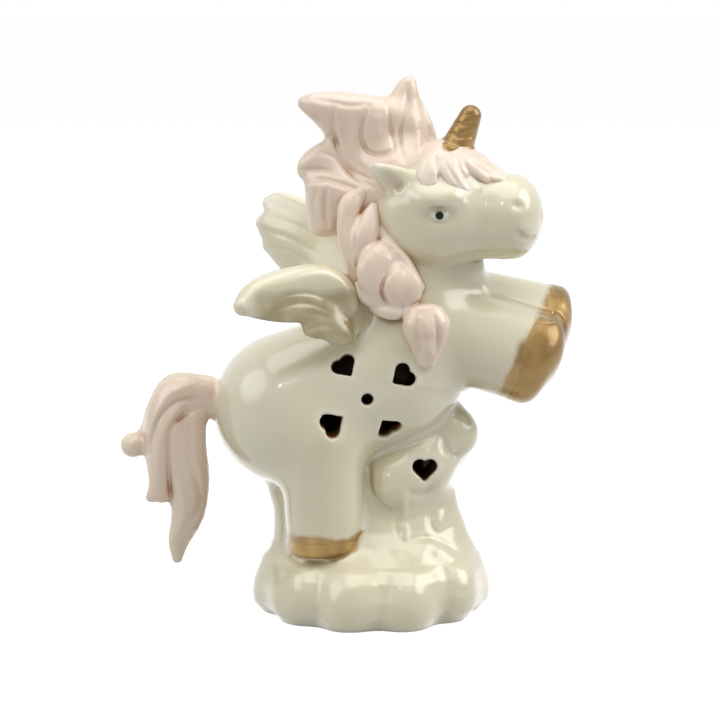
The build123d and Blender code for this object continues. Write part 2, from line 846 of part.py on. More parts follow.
for name, root_shares, length, width, path_shares in tail_rows:
    form = hair(at(rump, rump_radius, root_shares), length, width, tail_depth_share, path_shares)
    piece = less(form, *tail_neighbours)
    write(name, piece)
    tail_neighbours.append(piece)

# Lamp unit: a round housing with a flange, closed by the lens above and the battery cover below
lamp_top = lamp_recess + lamp_height
floor_top = lamp_recess + lamp_wall
bay_radius = lamp_radius - lamp_wall
cover_radius = cell_radius + cover_margin
slider_span = slider_length + slider_travel
screw_bearing = math.atan2(screw_y, screw_x)
boss_rib_length = bay_radius + lamp_wall / 2 - math.hypot(screw_x, screw_y)


def cover_outline(margin):
    """The battery cover's outline: a disc under the cell, a neck and a lobe for the screw."""
    run = Vector(screw_x + cell_offset, screw_y)
    with Locations((-cell_offset, 0)):
        Circle(cover_radius + margin)
    with Locations(Location((screw_x, screw_y), math.degrees(math.atan2(run.Y, run.X)))):
        Rectangle(run.length, cover_neck + margin * 2, align=(Align.MAX, Align.CENTER))
        Circle(screw_lobe_radius + margin)


with BuildPart() as lamp_housing:
    with BuildSketch(Plane.XY.offset(lamp_recess)):
        Circle(lamp_radius)
    extrude(amount=lamp_height)
    with BuildSketch(Plane.XY.offset(lamp_recess)):
        Circle(lamp_radius + flange_step)
    extrude(amount=flange_thickness)
    with BuildSketch(Plane.XY.offset(floor_top)):
        Circle(bay_radius)
    extrude(amount=lamp_height, mode=Mode.SUBTRACT)
    with BuildSketch(Plane.XY.offset(floor_top)):
        with Locations((screw_x, screw_y)):
            Circle(screw_head_radius)
        with Locations(Location((screw_x, screw_y), math.degrees(screw_bearing))):
            Rectangle(boss_rib_length, screw_head_radius, align=(Align.MIN, Align.CENTER))
    extrude(amount=screw_boss_height)
    with BuildSketch():
        cover_outline(cover_clearance)
        with Locations((switch_x, switch_y)):
            Rectangle(slider_width + slider_clearance * 2, slider_span + slider_clearance * 2)
    extrude(amount=floor_top, mode=Mode.SUBTRACT)
    with BuildSketch():
        with Locations((screw_x, screw_y)):
            Circle(screw_radius + running_clearance)
    extrude(amount=lamp_height, mode=Mode.SUBTRACT)
write("lamp_housing", lamp_housing.part)

grip_ring_low = lamp_recess + lamp_height / 2
with BuildPart() as grip_ring:
    with BuildSketch(Plane.XY.offset(grip_ring_low)):
        Circle(lamp_radius + grip_ring_proud)
        Circle(lamp_radius, mode=Mode.SUBTRACT)
    extrude(amount=grip_ring_height)
write("grip_ring", grip_ring.part)

with BuildPart() as lamp_lens:
    with BuildSketch(Plane.XY.offset(lamp_top - lens_thickness)):
        Circle(bay_radius)
    extrude(amount=lens_thickness)
    with BuildSketch(Plane.XY.offset(lamp_top)):
        Circle(lens_dome_radius)
    extrude(amount=lens_dome_height, taper=45)
write("lamp_lens", lamp_lens.part)

board_low = lamp_recess + board_height
with BuildPart() as led_board:
    with BuildSketch(Plane.XY.offset(board_low)):
        Circle(bay_radius)
        with Locations((screw_x, screw_y)):
            Circle(screw_lobe_radius, mode=Mode.SUBTRACT)
    extrude(amount=board_thickness)
write("led_board", led_board.part)

with BuildPart() as leds:
    with BuildSketch(Plane.XY.offset(board_low + board_thickness)):
        with PolarLocations(led_circle, 3):
            Rectangle(led_side, led_side)
    extrude(amount=led_height)
write("leds", leds.part)

with BuildPart() as coin_cell:
    with BuildSketch(Plane.XY.offset(floor_top)):
        with Locations((-cell_offset, 0)):
            Circle(cell_radius)
    extrude(amount=cell_thickness)
write("coin_cell", coin_cell.part)

contact_low = floor_top + cell_thickness
with BuildPart() as cell_contact:
    with BuildSketch(Plane.XZ.offset(-contact_width / 2)):
        with BuildLine():
            rear = (-cell_offset - cell_radius / 2, board_low)
            front = (-cell_offset + cell_radius / 2, board_low)
            inner_rear = (rear[0] + contact_thickness, board_low)
            inner_front = (front[0] - contact_thickness, board_low)
            ThreePointArc(rear, (-cell_offset, contact_low), front)
            Line(front, inner_front)
            ThreePointArc(inner_front, (-cell_offset, contact_low + contact_thickness), inner_rear)
            Line(inner_rear, rear)
        make_face()
    extrude(amount=contact_width)
write("cell_contact", cell_contact.part)

with BuildPart() as switch_body:
    with BuildSketch(Plane.XY.offset(floor_top)):
        with Locations((switch_x, switch_y)):
            Rectangle(switch_width, switch_length)
    extrude(amount=switch_height)
    with BuildSketch(Plane.XY.offset(floor_top)):
        with Locations((switch_x, switch_y)):
            Rectangle(slider_width + slider_clearance * 2, slider_span + slider_clearance * 2)
    extrude(amount=slider_depth + running_clearance, mode=Mode.SUBTRACT)
write("switch_body", switch_body.part)

with BuildPart() as switch_slider:
    with BuildSketch(Plane.XY.offset(lamp_recess + slider_clearance)):
        with Locations((switch_x, switch_y - slider_travel / 2)):
            Rectangle(slider_width, slider_length)
    extrude(amount=lamp_wall - slider_clearance + slider_depth)
write("switch_slider", switch_slider.part)

with BuildPart() as battery_cover:
    with BuildSketch(Plane.XY.offset(lamp_recess)):
        cover_outline(0)
    extrude(amount=lamp_wall)
    with BuildSketch(Plane.XY.offset(lamp_recess)):
        with Locations((screw_x, screw_y)):
            Circle(screw_head_radius + running_clearance)
    extrude(amount=screw_head_height, mode=Mode.SUBTRACT)
    with BuildSketch(Plane.XY.offset(lamp_recess)):
        with Locations((screw_x, screw_y)):
            Circle(screw_radius + running_clearance)
    extrude(amount=lamp_wall, mode=Mode.SUBTRACT)
write("battery_cover", battery_cover.part)

with BuildPart() as cover_screw:
    with BuildSketch(Plane.XY.offset(lamp_recess + running_clearance)):
        with Locations((screw_x, screw_y)):
            Circle(screw_head_radius)
    extrude(amount=screw_head_height - running_clearance)
    with BuildSketch(Plane.XY.offset(lamp_recess + screw_head_height)):
        with Locations((screw_x, screw_y)):
            Circle(screw_radius)
    extrude(amount=screw_length)
    with BuildSketch(Plane.XY.offset(lamp_recess + running_clearance)):
        with Locations((screw_x, screw_y)):
            Rectangle(screw_radius * 2, screw_radius / 2)
            Rectangle(screw_radius / 2, screw_radius * 2)
    extrude(amount=screw_head_height / 2, mode=Mode.SUBTRACT)
write("cover_screw", cover_screw.part)
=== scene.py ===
import bpy
import copy
import math
import numpy as np
import openvdb
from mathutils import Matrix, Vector


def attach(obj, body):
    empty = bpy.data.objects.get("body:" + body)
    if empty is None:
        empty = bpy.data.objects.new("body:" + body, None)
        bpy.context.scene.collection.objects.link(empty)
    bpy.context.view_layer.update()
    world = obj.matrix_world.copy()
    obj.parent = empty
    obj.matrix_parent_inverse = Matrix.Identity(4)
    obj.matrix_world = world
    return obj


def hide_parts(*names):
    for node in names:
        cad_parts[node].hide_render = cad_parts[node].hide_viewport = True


# The looks of the pierced porcelain unicorn. Each porcelain piece is modelled as clay, a field of distances
# on a block of voxels, and fired into a closed mesh. Lengths are millimetres until a mesh is made.
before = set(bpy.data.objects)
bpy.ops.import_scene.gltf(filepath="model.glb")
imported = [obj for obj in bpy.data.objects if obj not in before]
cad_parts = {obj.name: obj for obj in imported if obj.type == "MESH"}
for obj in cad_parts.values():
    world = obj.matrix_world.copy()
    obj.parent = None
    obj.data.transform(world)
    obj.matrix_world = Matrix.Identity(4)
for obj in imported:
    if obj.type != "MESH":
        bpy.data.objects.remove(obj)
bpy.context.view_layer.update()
MM = 0.001
UP = np.array([0.0, 0.0, 1.0])
LEFT = np.array([0.0, 1.0, 0.0])
# What the clay reads where no skin is near
FAR = 5.0


def unit(vector):
    return vector / np.linalg.norm(vector)


def ramp_share(values, low, high):
    """A smooth step from 0 at low to 1 at high."""
    t = np.clip((values - low) / (high - low), 0, 1)
    return t * t * (3 - 2 * t)


# The photograph's camera: its place, its middle pixel, millimetres per pixel in the figure's middle plane,
# and the distances from it among which the figurine's skin is looked for
camera_target = np.array([-2.8, 0.0, 65.4])
camera_distance = 650.0
photo_middle = 360
pixel_size = 0.2569
sight_reaches = np.arange(560.0, 720.0, 0.1)
azimuth, elevation = math.radians(-3.0), math.radians(8.0)
camera_back = np.array(
    [math.sin(azimuth) * math.cos(elevation), -math.cos(azimuth) * math.cos(elevation), math.sin(elevation)]
)
camera_right = np.array([math.cos(azimuth), math.sin(azimuth), 0.0])
camera_up = np.cross(camera_back, camera_right)
camera_eye = camera_target + camera_back * camera_distance


def sight(pixel):
    """The line of sight through a pixel of the photograph."""
    aside, up = pixel[0] - photo_middle, photo_middle - pixel[1]
    on_plane = camera_target + (camera_right * aside + camera_up * up) * pixel_size
    return unit(on_plane - camera_eye)


def pixels_of(places):
    """Where points show in the photograph."""
    from_target = places - camera_target
    shrink = camera_distance / (camera_distance - from_target @ camera_back) / pixel_size
    across = photo_middle + from_target @ camera_right * shrink
    down = photo_middle - from_target @ camera_up * shrink
    return across, down


def at_depth(pixel, y):
    """The point that shows at a pixel, on the upright plane at some y."""
    ray = sight(pixel)
    return camera_eye + ray * ((y - camera_eye[1]) / ray[1])


# Where the forms stand, from the same sizes as the solids
rump_radius = 19.6
chest_radius = 19.0
barrel_length = 27.0
porcelain_wall = 3.0
rise = math.radians(19.0)
barrel_axis = np.array([math.cos(rise), 0.0, math.sin(rise)])
rump = np.array([-20.8, 0.0, 53.1])
chest = rump + barrel_axis * barrel_length
neck_length = 42.0
neck_ahead = 8.8
neck_aside = -3.5
neck_radius = 16.5
neck_reach = np.array([neck_ahead, neck_aside, math.sqrt(neck_length**2 - neck_ahead**2)])
cheek = chest + neck_reach
cheek_radius = 12.0
brow_radius = 10.4
head_length = 42.0
head_turn = math.radians(14.0)
head_axis = np.array([math.cos(head_turn), -math.sin(head_turn), 0.0])
head_side = np.array([math.sin(head_turn), math.cos(head_turn), 0.0])


def on_head(ahead, aside, up):
    """A point on the head, in shares of the cheek's radius."""
    return cheek + (head_axis * ahead + head_side * aside + UP * up) * cheek_radius


def mirrored(spot):
    """The same place on the head's other side."""
    return spot - head_side * 2 * ((spot - cheek) @ head_side)


def mirrored_way(way):
    """The same direction on the head's other side."""
    return way - head_side * 2 * (way @ head_side)


# Forms: each is a distance function with the corners of the box that it fills
def egg(centre, radii, axes=np.eye(3)):
    """A ball or an ellipsoid whose radii lie along three axes."""
    centre = np.asarray(centre, float)

    def distance(x, y, z):
        x, y, z = x - centre[0], y - centre[1], z - centre[2]
        near = 0.0
        steep = 0.0
        for radius, axis in zip(radii, axes):
            along = x * axis[0] + y * axis[1] + z * axis[2]
            near = near + (along / radius) ** 2
            steep = steep + (along / radius**2) ** 2
        near = np.sqrt(near)
        return near * (near - 1) / np.maximum(np.sqrt(steep), 1e-3)

    return distance, centre - max(radii), centre + max(radii)


def ball(centre, radius):
    return egg(centre, (radius, radius, radius))


def pillow(centre, radius, half_depth, axis, power):
    """A ball squared off along one axis, with a steeper rim than a ball's."""

    def distance(x, y, z):
        x, y, z = x - centre[0], y - centre[1], z - centre[2]
        side = np.abs(x * axis[0] + y * axis[1] + z * axis[2])
        reach = x * x + y * y + z * z
        flat = np.sqrt(np.maximum(reach - side * side, 0))
        near = ((flat / radius) ** power + (side / half_depth) ** power) ** (1 / power)
        return (near - 1) * np.sqrt(reach) / np.maximum(near, 0.05)

    return distance, centre - radius - half_depth / 2, centre + radius + half_depth / 2


def along_and_out(x, y, z, a, axis):
    """How far a point lies along an axis from a, and how far out from it."""
    x, y, z = x - a[0], y - a[1], z - a[2]
    along = x * axis[0] + y * axis[1] + z * axis[2]
    return along, np.sqrt(np.maximum(x * x + y * y + z * z - along * along, 0))


def cone(a, b, radius_a, radius_b):
    """Two balls and the skin that touches both."""
    a, b = np.asarray(a, float), np.asarray(b, float)
    length = np.linalg.norm(b - a)
    axis = (b - a) / length
    slope = (radius_a - radius_b) / length

    def distance(x, y, z):
        along, out = along_and_out(x, y, z, a, axis)
        nearest = np.clip(along - slope * out / math.sqrt(1 - slope**2), 0, length)
        return np.sqrt((along - nearest) ** 2 + out**2) - (radius_a - slope * nearest)

    widest = max(radius_a, radius_b)
    return distance, np.minimum(a, b) - widest, np.maximum(a, b) + widest


def limb(a, b, radius_a, radius_b, rim, round_root=True):
    """A tapered stub with a flat end at b that has a rounded rim, and a round or a flat root at a."""
    a, b = np.asarray(a, float), np.asarray(b, float)
    length = np.linalg.norm(b - a)
    axis = (b - a) / length
    slope = (radius_a - radius_b) / length

    def distance(x, y, z):
        along, out = along_and_out(x, y, z, a, axis)
        side = (out - (radius_a - slope * along)) / math.sqrt(1 + slope**2) + rim
        end = along - length + rim
        if not round_root:
            end = np.maximum(end, rim - along)
        stub = np.minimum(np.maximum(side, end), 0) + np.hypot(np.maximum(side, 0), np.maximum(end, 0)) - rim
        if round_root:
            stub = np.where(along < 0, np.hypot(along, out) - radius_a, stub)
        return stub

    widest = max(radius_a, radius_b)
    return distance, np.minimum(a, b) - widest, np.maximum(a, b) + widest


def turned(origin, axis, profile):
    """A turned form: the profile is a list of distances along the axis and radii."""
    profile = smooth_path(np.array(profile, float), 50)
    starts, ends = profile[:-1], profile[1:]

    def distance(x, y, z):
        along, out = along_and_out(x, y, z, origin, axis)
        nearest = np.full(along.shape, 1e3, np.float32)
        for start, end in zip(starts, ends):
            step = end - start
            passed = (along - start[0]) * step[0] + (out - start[1]) * step[1]
            share = np.clip(passed / (step @ step), 0, 1)
            gap = np.hypot(along - start[0] - step[0] * share, out - start[1] - step[1] * share)
            nearest = np.minimum(nearest, gap)
        radius = np.interp(along.ravel(), profile[:, 0], profile[:, 1], left=0, right=0)
        return np.where(out < radius.reshape(along.shape), -nearest, nearest)

    ends_at = [origin + axis * profile[0, 0], origin + axis * profile[-1, 0]]
    widest = profile[:, 1].max()
    return distance, np.min(ends_at, 0) - widest, np.max(ends_at, 0) + widest


def stack(stations, shoulder=0.0):
    """Level ovals stacked up: each station is the height, the shift along X and the two half widths."""
    stations = np.array(stations, float)

    def distance(x, y, z):
        shift, half_x, half_y = [np.interp(z, stations[:, 0], stations[:, column]) for column in (1, 2, 3)]
        across, deep = (x - shift) / half_x, y / half_y
        near = np.sqrt(across**2 + deep**2)
        steep = np.sqrt((across / half_x) ** 2 + (deep / half_y) ** 2)
        side = near * (near - 1) / np.maximum(steep, 1e-3)
        below = stations[0, 0] - z
        return np.maximum(-soft_min(-side, stations[-1, 0] - z, shoulder), below)

    low = [(stations[:, 1] - stations[:, 2]).min(), -stations[:, 3].max(), stations[0, 0]]
    high = [(stations[:, 1] + stations[:, 2]).max(), stations[:, 3].max(), stations[-1, 0]]
    return distance, np.array(low), np.array(high)


def smooth_path(points, count):
    """A rounded path through points, at evenly spaced shares of its way."""
    ghosts = np.vstack([2 * points[0] - points[1], points, 2 * points[-1] - points[-2]])
    places = np.linspace(0, len(points) - 1, count)
    span = np.minimum(places.astype(int), len(points) - 2)
    t = (places - span)[:, None]
    p0, p1, p2, p3 = [ghosts[span + k] for k in range(4)]
    bend = 2 * p0 - 5 * p1 + 4 * p2 - p3
    swing = 3 * p1 - p0 - 3 * p2 + p3
    return (2 * p1 + (p2 - p0) * t + bend * t**2 + swing * t**3) / 2


def lock(points, halves, depth_share, facing=LEFT, blunt=0.0):
    """A lock of hair or a feather: ovals along a bent path. Its ends are round, or reach on by a blunt
    length."""
    path = smooth_path(np.column_stack([points, halves]), 22)
    spots, halves = path[:, :3], np.maximum(path[:, 3], 0.25)
    along = np.gradient(spots, axis=0)
    along /= np.linalg.norm(along, axis=1, keepdims=True)
    across = np.cross(along, facing)
    across /= np.linalg.norm(across, axis=1, keepdims=True)
    beside = np.cross(along, across)

    def distance(x, y, z):
        nearest = np.full(np.broadcast(x, y, z).shape, 1e3, np.float32)
        for k in range(len(spots) - 1):
            step = spots[k + 1] - spots[k]
            dx, dy, dz = x - spots[k][0], y - spots[k][1], z - spots[k][2]
            share = (dx * step[0] + dy * step[1] + dz * step[2]) / (step @ step)
            clipped = np.clip(share, 0, 1)
            over = (share - clipped) * np.linalg.norm(step)
            half = halves[k] + (halves[k + 1] - halves[k]) * clipped
            dx, dy, dz = dx - step[0] * clipped, dy - step[1] * clipped, dz - step[2] * clipped
            wide = (across[k] + across[k + 1]) / 2
            deep = (beside[k] + beside[k + 1]) / 2
            u = (dx * wide[0] + dy * wide[1] + dz * wide[2]) / half
            v = (dx * deep[0] + dy * deep[1] + dz * deep[2]) / (half * depth_share)
            w = over / (blunt or half * depth_share)
            near = np.sqrt(u * u + v * v + w * w)
            gap = (near - 1) * np.sqrt(dx * dx + dy * dy + dz * dz) / np.maximum(near, 0.05)
            nearest = np.minimum(nearest, gap)
        return nearest

    widest = halves.max()
    return distance, spots.min(0) - widest, spots.max(0) + widest


def heart(spot, across, up, half_depth, size):
    """A heart-shaped punch, pointing down its own up axis."""
    spot, across, up = np.asarray(spot, float), np.asarray(across, float), np.asarray(up, float)
    out = np.cross(across, up)
    side = size / (math.sqrt(1 / 2) + 1)
    shoulder = side * math.sqrt(1 / 8)

    def distance(x, y, z):
        x, y, z = x - spot[0], y - spot[1], z - spot[2]
        u = np.abs(x * across[0] + y * across[1] + z * across[2])
        v = x * up[0] + y * up[1] + z * up[2]
        w = np.abs(x * out[0] + y * out[1] + z * out[2]) - half_depth
        p = np.abs(u + v) / math.sqrt(2) - side / 2
        q = np.abs(u - v) / math.sqrt(2) - side / 2
        square = np.hypot(np.maximum(p, 0), np.maximum(q, 0)) + np.minimum(np.maximum(p, q), 0)
        shape = np.minimum(square, np.hypot(u - shoulder, v - shoulder) - side / 2)
        return np.maximum(shape, w)

    return distance, spot - half_depth - size, spot + half_depth + size


def bore(a, b, radius):
    """A straight round bore from a to b, sharp at both ends."""
    return limb(a, b, radius, radius, rim=0.05, round_root=False)


def swollen(form, amount):
    """A form grown by an even amount."""
    distance, low, high = form
    return (lambda x, y, z: distance(x, y, z) - amount), low - amount, high + amount


# Clay: a block of voxels that holds the distance to the skin, negative inside
def soft_min(a, b, fillet):
    """The nearer of two distances, rounded where they meet."""
    if fillet <= 0:
        return np.minimum(a, b)
    join = np.maximum(fillet - np.abs(a - b), 0)
    return np.minimum(a, b) - join * join / (4 * fillet)


class Clay:
    def __init__(self, low, high, grain):
        """An empty block between two corners, in voxels of a grain."""
        self.low = np.asarray(low, float)
        self.grain = grain
        counts = np.ceil((np.asarray(high, float) - self.low) / grain).astype(int) + 1
        self.skin = np.full(counts, FAR, np.float32)

    def twin(self):
        """A copy of this clay as it is now."""
        other = copy.copy(self)
        other.skin = self.skin.copy()
        return other

    def window(self, low, high, margin):
        """The voxels about a box, and their places."""
        first = np.maximum(np.floor((low - margin - self.low) / self.grain).astype(int), 0)
        last = np.minimum(np.ceil((high + margin - self.low) / self.grain).astype(int) + 1, self.skin.shape)
        last = np.maximum(first, last)
        cells = tuple(slice(a, b) for a, b in zip(first, last))
        places = [
            (np.arange(a, b) * self.grain + start).astype(np.float32)
            for a, b, start in zip(first, last, self.low)
        ]
        x, y, z = np.meshgrid(*places, indexing="ij", sparse=True)
        return cells, [np.broadcast_to(c, tuple(last - first)) for c in (x, y, z)]

    def add(self, form, fillet=0.0):
        """Joins a form on, with a fillet where it meets the clay."""
        distance, low, high = form
        cells, place = self.window(low, high, fillet + 2)
        if self.skin[cells].size:
            self.skin[cells] = soft_min(self.skin[cells], distance(*place), fillet)

    def cut(self, form, fillet=0.0):
        """Takes a form away, with its edge rounded by a fillet."""
        distance, low, high = form
        cells, place = self.window(low, high, fillet + 2)
        if self.skin[cells].size:
            self.skin[cells] = -soft_min(-self.skin[cells], distance(*place), fillet)

    def keep(self, distance):
        """Keeps only what lies where a distance is below zero."""
        cells, place = self.window(self.low, self.low + np.array(self.skin.shape) * self.grain, 0)
        self.skin[cells] = np.maximum(self.skin[cells], distance(*place))

    def swell(self, amount):
        """Grows the skin by an amount that differs from place to place."""
        cells, place = self.window(self.low, self.low + np.array(self.skin.shape) * self.grain, 0)
        self.skin[cells] -= amount(*place)

    def seat(self, neighbours, fillet, sink=0.25):
        """Runs a fillet out on to neighbours, feathered to nothing just under their skins."""
        bare = self.skin.copy()
        for form in neighbours:
            self.add(swollen(form, -sink), fillet)
        self.skin = np.maximum(self.skin, bare - fillet - sink)

    def press(self, strokes, far_side=0.8):
        """Combs the skin along strokes: each is pixels of the photograph that it runs through, a width in
        pixels and a rise in millimetres, below zero for a groove. The far side gets them more softly."""
        near = np.array(np.nonzero(np.abs(self.skin) < 2.0))
        slope = np.zeros(near.shape[::-1], np.float32)
        for axis in range(3):
            step = np.zeros((3, 1), int)
            step[axis] = 2
            ahead = np.minimum(near + step, np.array(self.skin.shape)[:, None] - 1)
            slope[:, axis] = self.skin[tuple(ahead)] - self.skin[tuple(np.maximum(near - step, 0))]
        facing = slope @ camera_back / np.maximum(np.linalg.norm(slope, axis=1), 1e-6)
        weight = ramp_share(facing, 0.1, 0.5) + far_side * ramp_share(-facing, 0.1, 0.5)
        spots = np.column_stack(pixels_of(self.low + near.T * self.grain))
        rise_here = np.zeros(len(spots))
        for pixels, width, height in strokes:
            path = smooth_path(np.array(pixels, float), 16)
            close = ((spots > path.min(0) - 3 * width) & (spots < path.max(0) + 3 * width)).all(1)
            gap = np.full(close.sum(), 1e3)
            place = np.zeros(close.sum())
            for k, (start, end) in enumerate(zip(path, path[1:])):
                way = end - start
                along = np.clip((spots[close] - start) @ way / (way @ way), 0, 1)
                here = np.linalg.norm(spots[close] - start - np.outer(along, way), axis=1)
                place = np.where(here < gap, (k + along) / (len(path) - 1), place)
                gap = np.minimum(gap, here)
            fade = np.interp(place, [0, 0.25, 0.75, 1], [0.35, 1, 1, 0.35])
            rise_here[close] += height * fade * np.exp(-((gap / width) ** 2))
        self.skin[tuple(near)] -= (rise_here * weight).astype(np.float32)

    def seen(self, pixel):
        """Where the camera meets the skin at a pixel, and the way out of it there."""
        places = camera_eye + np.outer(sight_reaches, sight(pixel))
        where = (places - self.low) / self.grain
        inside = ((where > 1) & (where < np.array(self.skin.shape) - 2)).all(1)
        first = np.argmax(read_skin(self, where[inside]) < 0)
        spot = where[inside][first]
        out = [read_skin(self, np.array([spot + e, spot - e])) @ [1, -1] for e in np.eye(3)]
        return places[inside][first], unit(np.array(out))


def read_skin(clay, where):
    """The clay's distances at points given in voxels."""
    base = np.clip(np.floor(where).astype(int), 0, np.array(clay.skin.shape) - 2)
    t = np.clip(where - base, 0, 1)
    total = 0.0
    for corner in np.ndindex(2, 2, 2):
        share = np.prod(np.where(corner, t, 1 - t), axis=1)
        i, j, k = (base + corner).T
        total = total + share * clay.skin[i, j, k]
    return total


def depth_under(clay, places):
    """How deep places lie under the clay's skin."""
    return -read_skin(clay, (places - clay.low) / clay.grain)


# How far off a point feels for more skin, to tell how deep in a crease or how sharp an edge it is
crease_reach = 1.8


def fire(name, clay, glaze, nodes, near=(), marks=None):
    """Turns clay into a closed mesh with true normals. Each point also gets how deep it lies in a crease,
    how sharp an edge it is on, and the piece's own marks, which its material paints by."""
    grid = openvdb.FloatGrid(FAR)
    grid.copyFromArray(clay.skin)
    spots, quads = grid.convertToQuads(0.0)
    spots = spots.astype(float)
    normals = np.zeros_like(spots)
    for axis in range(3):
        step = np.zeros(3)
        step[axis] = 0.8
        normals[:, axis] = read_skin(clay, spots + step) - read_skin(clay, spots - step)
    normals /= np.maximum(np.linalg.norm(normals, axis=1, keepdims=True), 1e-6)
    places = clay.low + spots * clay.grain
    ahead = places + normals * crease_reach
    room = read_skin(clay, spots + normals * (crease_reach / clay.grain))
    # Neighbouring forms close the room too, so creases against them also get the pooled tone and painted
    # shade
    for distance, low, high in near:
        room = np.minimum(room, distance(ahead[:, 0], ahead[:, 1], ahead[:, 2]))
    behind = -read_skin(clay, spots - normals * (crease_reach / clay.grain))
    painted = {
        "crease": np.clip(1 - room / crease_reach, 0, 1),
        "edge": np.clip(1 - behind / crease_reach, 0, 1),
    } | (marks(places) if marks else {})

    a, b, c = [places[quads[:, k]] for k in range(3)]
    if np.einsum("ij,ij->i", np.cross(b - a, c - a), normals[quads[:, 0]]).sum() < 0:
        quads = quads[:, ::-1]
    mesh = bpy.data.meshes.new(name)
    mesh.vertices.add(len(places))
    mesh.vertices.foreach_set("co", (places * MM).astype(np.float32).ravel())
    mesh.loops.add(quads.size)
    mesh.loops.foreach_set("vertex_index", quads.astype(np.int32).ravel())
    mesh.polygons.add(len(quads))
    mesh.polygons.foreach_set("loop_start", np.arange(0, quads.size, 4, dtype=np.int32))
    mesh.polygons.foreach_set("loop_total", np.full(len(quads), 4, np.int32))
    mesh.update(calc_edges=True)
    mesh.polygons.foreach_set("use_smooth", np.ones(len(quads), bool))
    mesh.normals_split_custom_set_from_vertices(normals.astype(np.float32))
    for mark, values in painted.items():
        attribute = mesh.attributes.new(mark, "FLOAT", "POINT")
        attribute.data.foreach_set("value", np.asarray(values, np.float32))
    mesh.materials.append(glaze)
    piece = bpy.data.objects.new(name, mesh)
    bpy.context.scene.collection.objects.link(piece)
    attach(piece, "figurine")
    if nodes:
        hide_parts(*nodes)


def brush_noise(places, size, seed):
    """A soft random field for brushed edges: sums of waves in fixed random directions."""
    random = np.random.RandomState(seed)
    total = np.zeros(len(places))
    waves = 12
    for wave in range(waves):
        way = unit(random.normal(size=3))
        wavelength = size * random.uniform(0.5, 1.6)
        total += np.sin(places @ way * 2 * math.pi / wavelength + random.uniform(0, 6.3))
    return total / waves


# Materials
def linear(hex_colour):
    """An sRGB hex colour as the linear values that the shader takes."""
    parts = [int(hex_colour[k : k + 2], 16) / 255 for k in (1, 3, 5)]
    return [c / 12.92 if c <= 0.04045 else ((c + 0.055) / 1.055) ** 2.4 for c in parts] + [1.0]


def add_node(tree, kind, inputs=None, stops=(), **settings):
    """Adds a node: inputs maps a socket to a value or to another node's output, stops fill a colour ramp."""
    node = tree.nodes.new(kind)
    for key, value in settings.items():
        setattr(node, key, value)
    for socket, value in (inputs or {}).items():
        if isinstance(value, bpy.types.NodeSocket):
            tree.links.new(value, node.inputs[socket])
        else:
            node.inputs[socket].default_value = value
    for k, (place, colour) in enumerate(stops):
        elements = node.color_ramp.elements
        element = elements[k] if k < len(elements) else elements.new(place)
        element.position = place
        element.color = linear(colour)
    return node


def start_material(name, **shader_values):
    """A new material with its shader, and the values that are the same all over it."""
    material = bpy.data.materials.new(name)
    material.use_nodes = True
    shader = material.node_tree.nodes["Principled BSDF"]
    for socket, value in shader_values.items():
        shader.inputs[socket.replace("_", " ")].default_value = value
    return material, material.node_tree, shader


# A colour mix's sockets: the share of its second colour, the two colours, and the mixed colour that it gives
SHARE, FIRST, SECOND, MIXED = 0, 6, 7, 2


def patches(tree, size_mm, detail=2.0, stretch=(1.0, 1.0, 1.0)):
    """Soft noise whose patches have a real size, drawn out along an axis where its stretch is under 1."""
    place = add_node(tree, "ShaderNodeTexCoord").outputs["Object"]
    place = add_node(tree, "ShaderNodeMapping", {"Vector": place, "Scale": stretch}).outputs[0]
    noise = {"Vector": place, "Scale": 1 / (size_mm * MM), "Detail": detail}
    return add_node(tree, "ShaderNodeTexNoise", noise).outputs["Fac"]


def glazed_colour(tree, body, drift, edge, pool_and_shade):
    """Clear glaze over a tinted clay body: it runs thin and pale on edges, pools darker in creases, where
    that darker tone also paints the shade that falls there, and has rare pinholes about 0.3 mm across
    where gas left it in the kiln."""
    tones = {SHARE: patches(tree, 26.0), FIRST: linear(body), SECOND: linear(drift)}
    cloudy = add_node(tree, "ShaderNodeMix", tones, data_type="RGBA").outputs[MIXED]
    sharp = add_node(tree, "ShaderNodeAttribute", attribute_name="edge").outputs["Fac"]
    tones = {SHARE: sharp, FIRST: cloudy, SECOND: linear(edge)}
    thin = add_node(tree, "ShaderNodeMix", tones, data_type="RGBA").outputs[MIXED]
    crease = add_node(tree, "ShaderNodeAttribute", attribute_name="crease").outputs["Fac"]
    # A piece's own mark of painted shade darkens it as a crease does
    recess = add_node(tree, "ShaderNodeAttribute", attribute_name="recess").outputs["Fac"]
    crease = add_node(tree, "ShaderNodeMath", {0: crease, 1: recess}, operation="MAXIMUM").outputs[0]
    # Deeper creases take more of the pooled tone: pooled glaze and painted shade together
    stops = [(0.08, "#000000"), (0.4, "#707070"), (0.9, "#ffffff")]
    depth = add_node(tree, "ShaderNodeValToRGB", {"Fac": crease}, stops).outputs["Color"]
    tones = {SHARE: depth, FIRST: thin, SECOND: linear(pool_and_shade)}
    pooled_and_shaded = add_node(tree, "ShaderNodeMix", tones, data_type="RGBA").outputs[MIXED]
    # One pinhole in each cell of 9 mm, as wide as the share of the cell that is nearest its middle
    place = add_node(tree, "ShaderNodeTexCoord").outputs["Object"]
    cells = {"Vector": place, "Scale": 1 / (9.0 * MM)}
    from_middle = add_node(tree, "ShaderNodeTexVoronoi", cells).outputs["Distance"]
    darkness = {"Value": from_middle, "From Max": 0.02, "To Min": 0.5, "To Max": 0.0}
    hole = add_node(tree, "ShaderNodeMapRange", darkness).outputs[0]
    tones = {SHARE: hole, FIRST: pooled_and_shaded, SECOND: linear("#8a7346")}
    return add_node(tree, "ShaderNodeMix", tones, data_type="RGBA").outputs[MIXED]


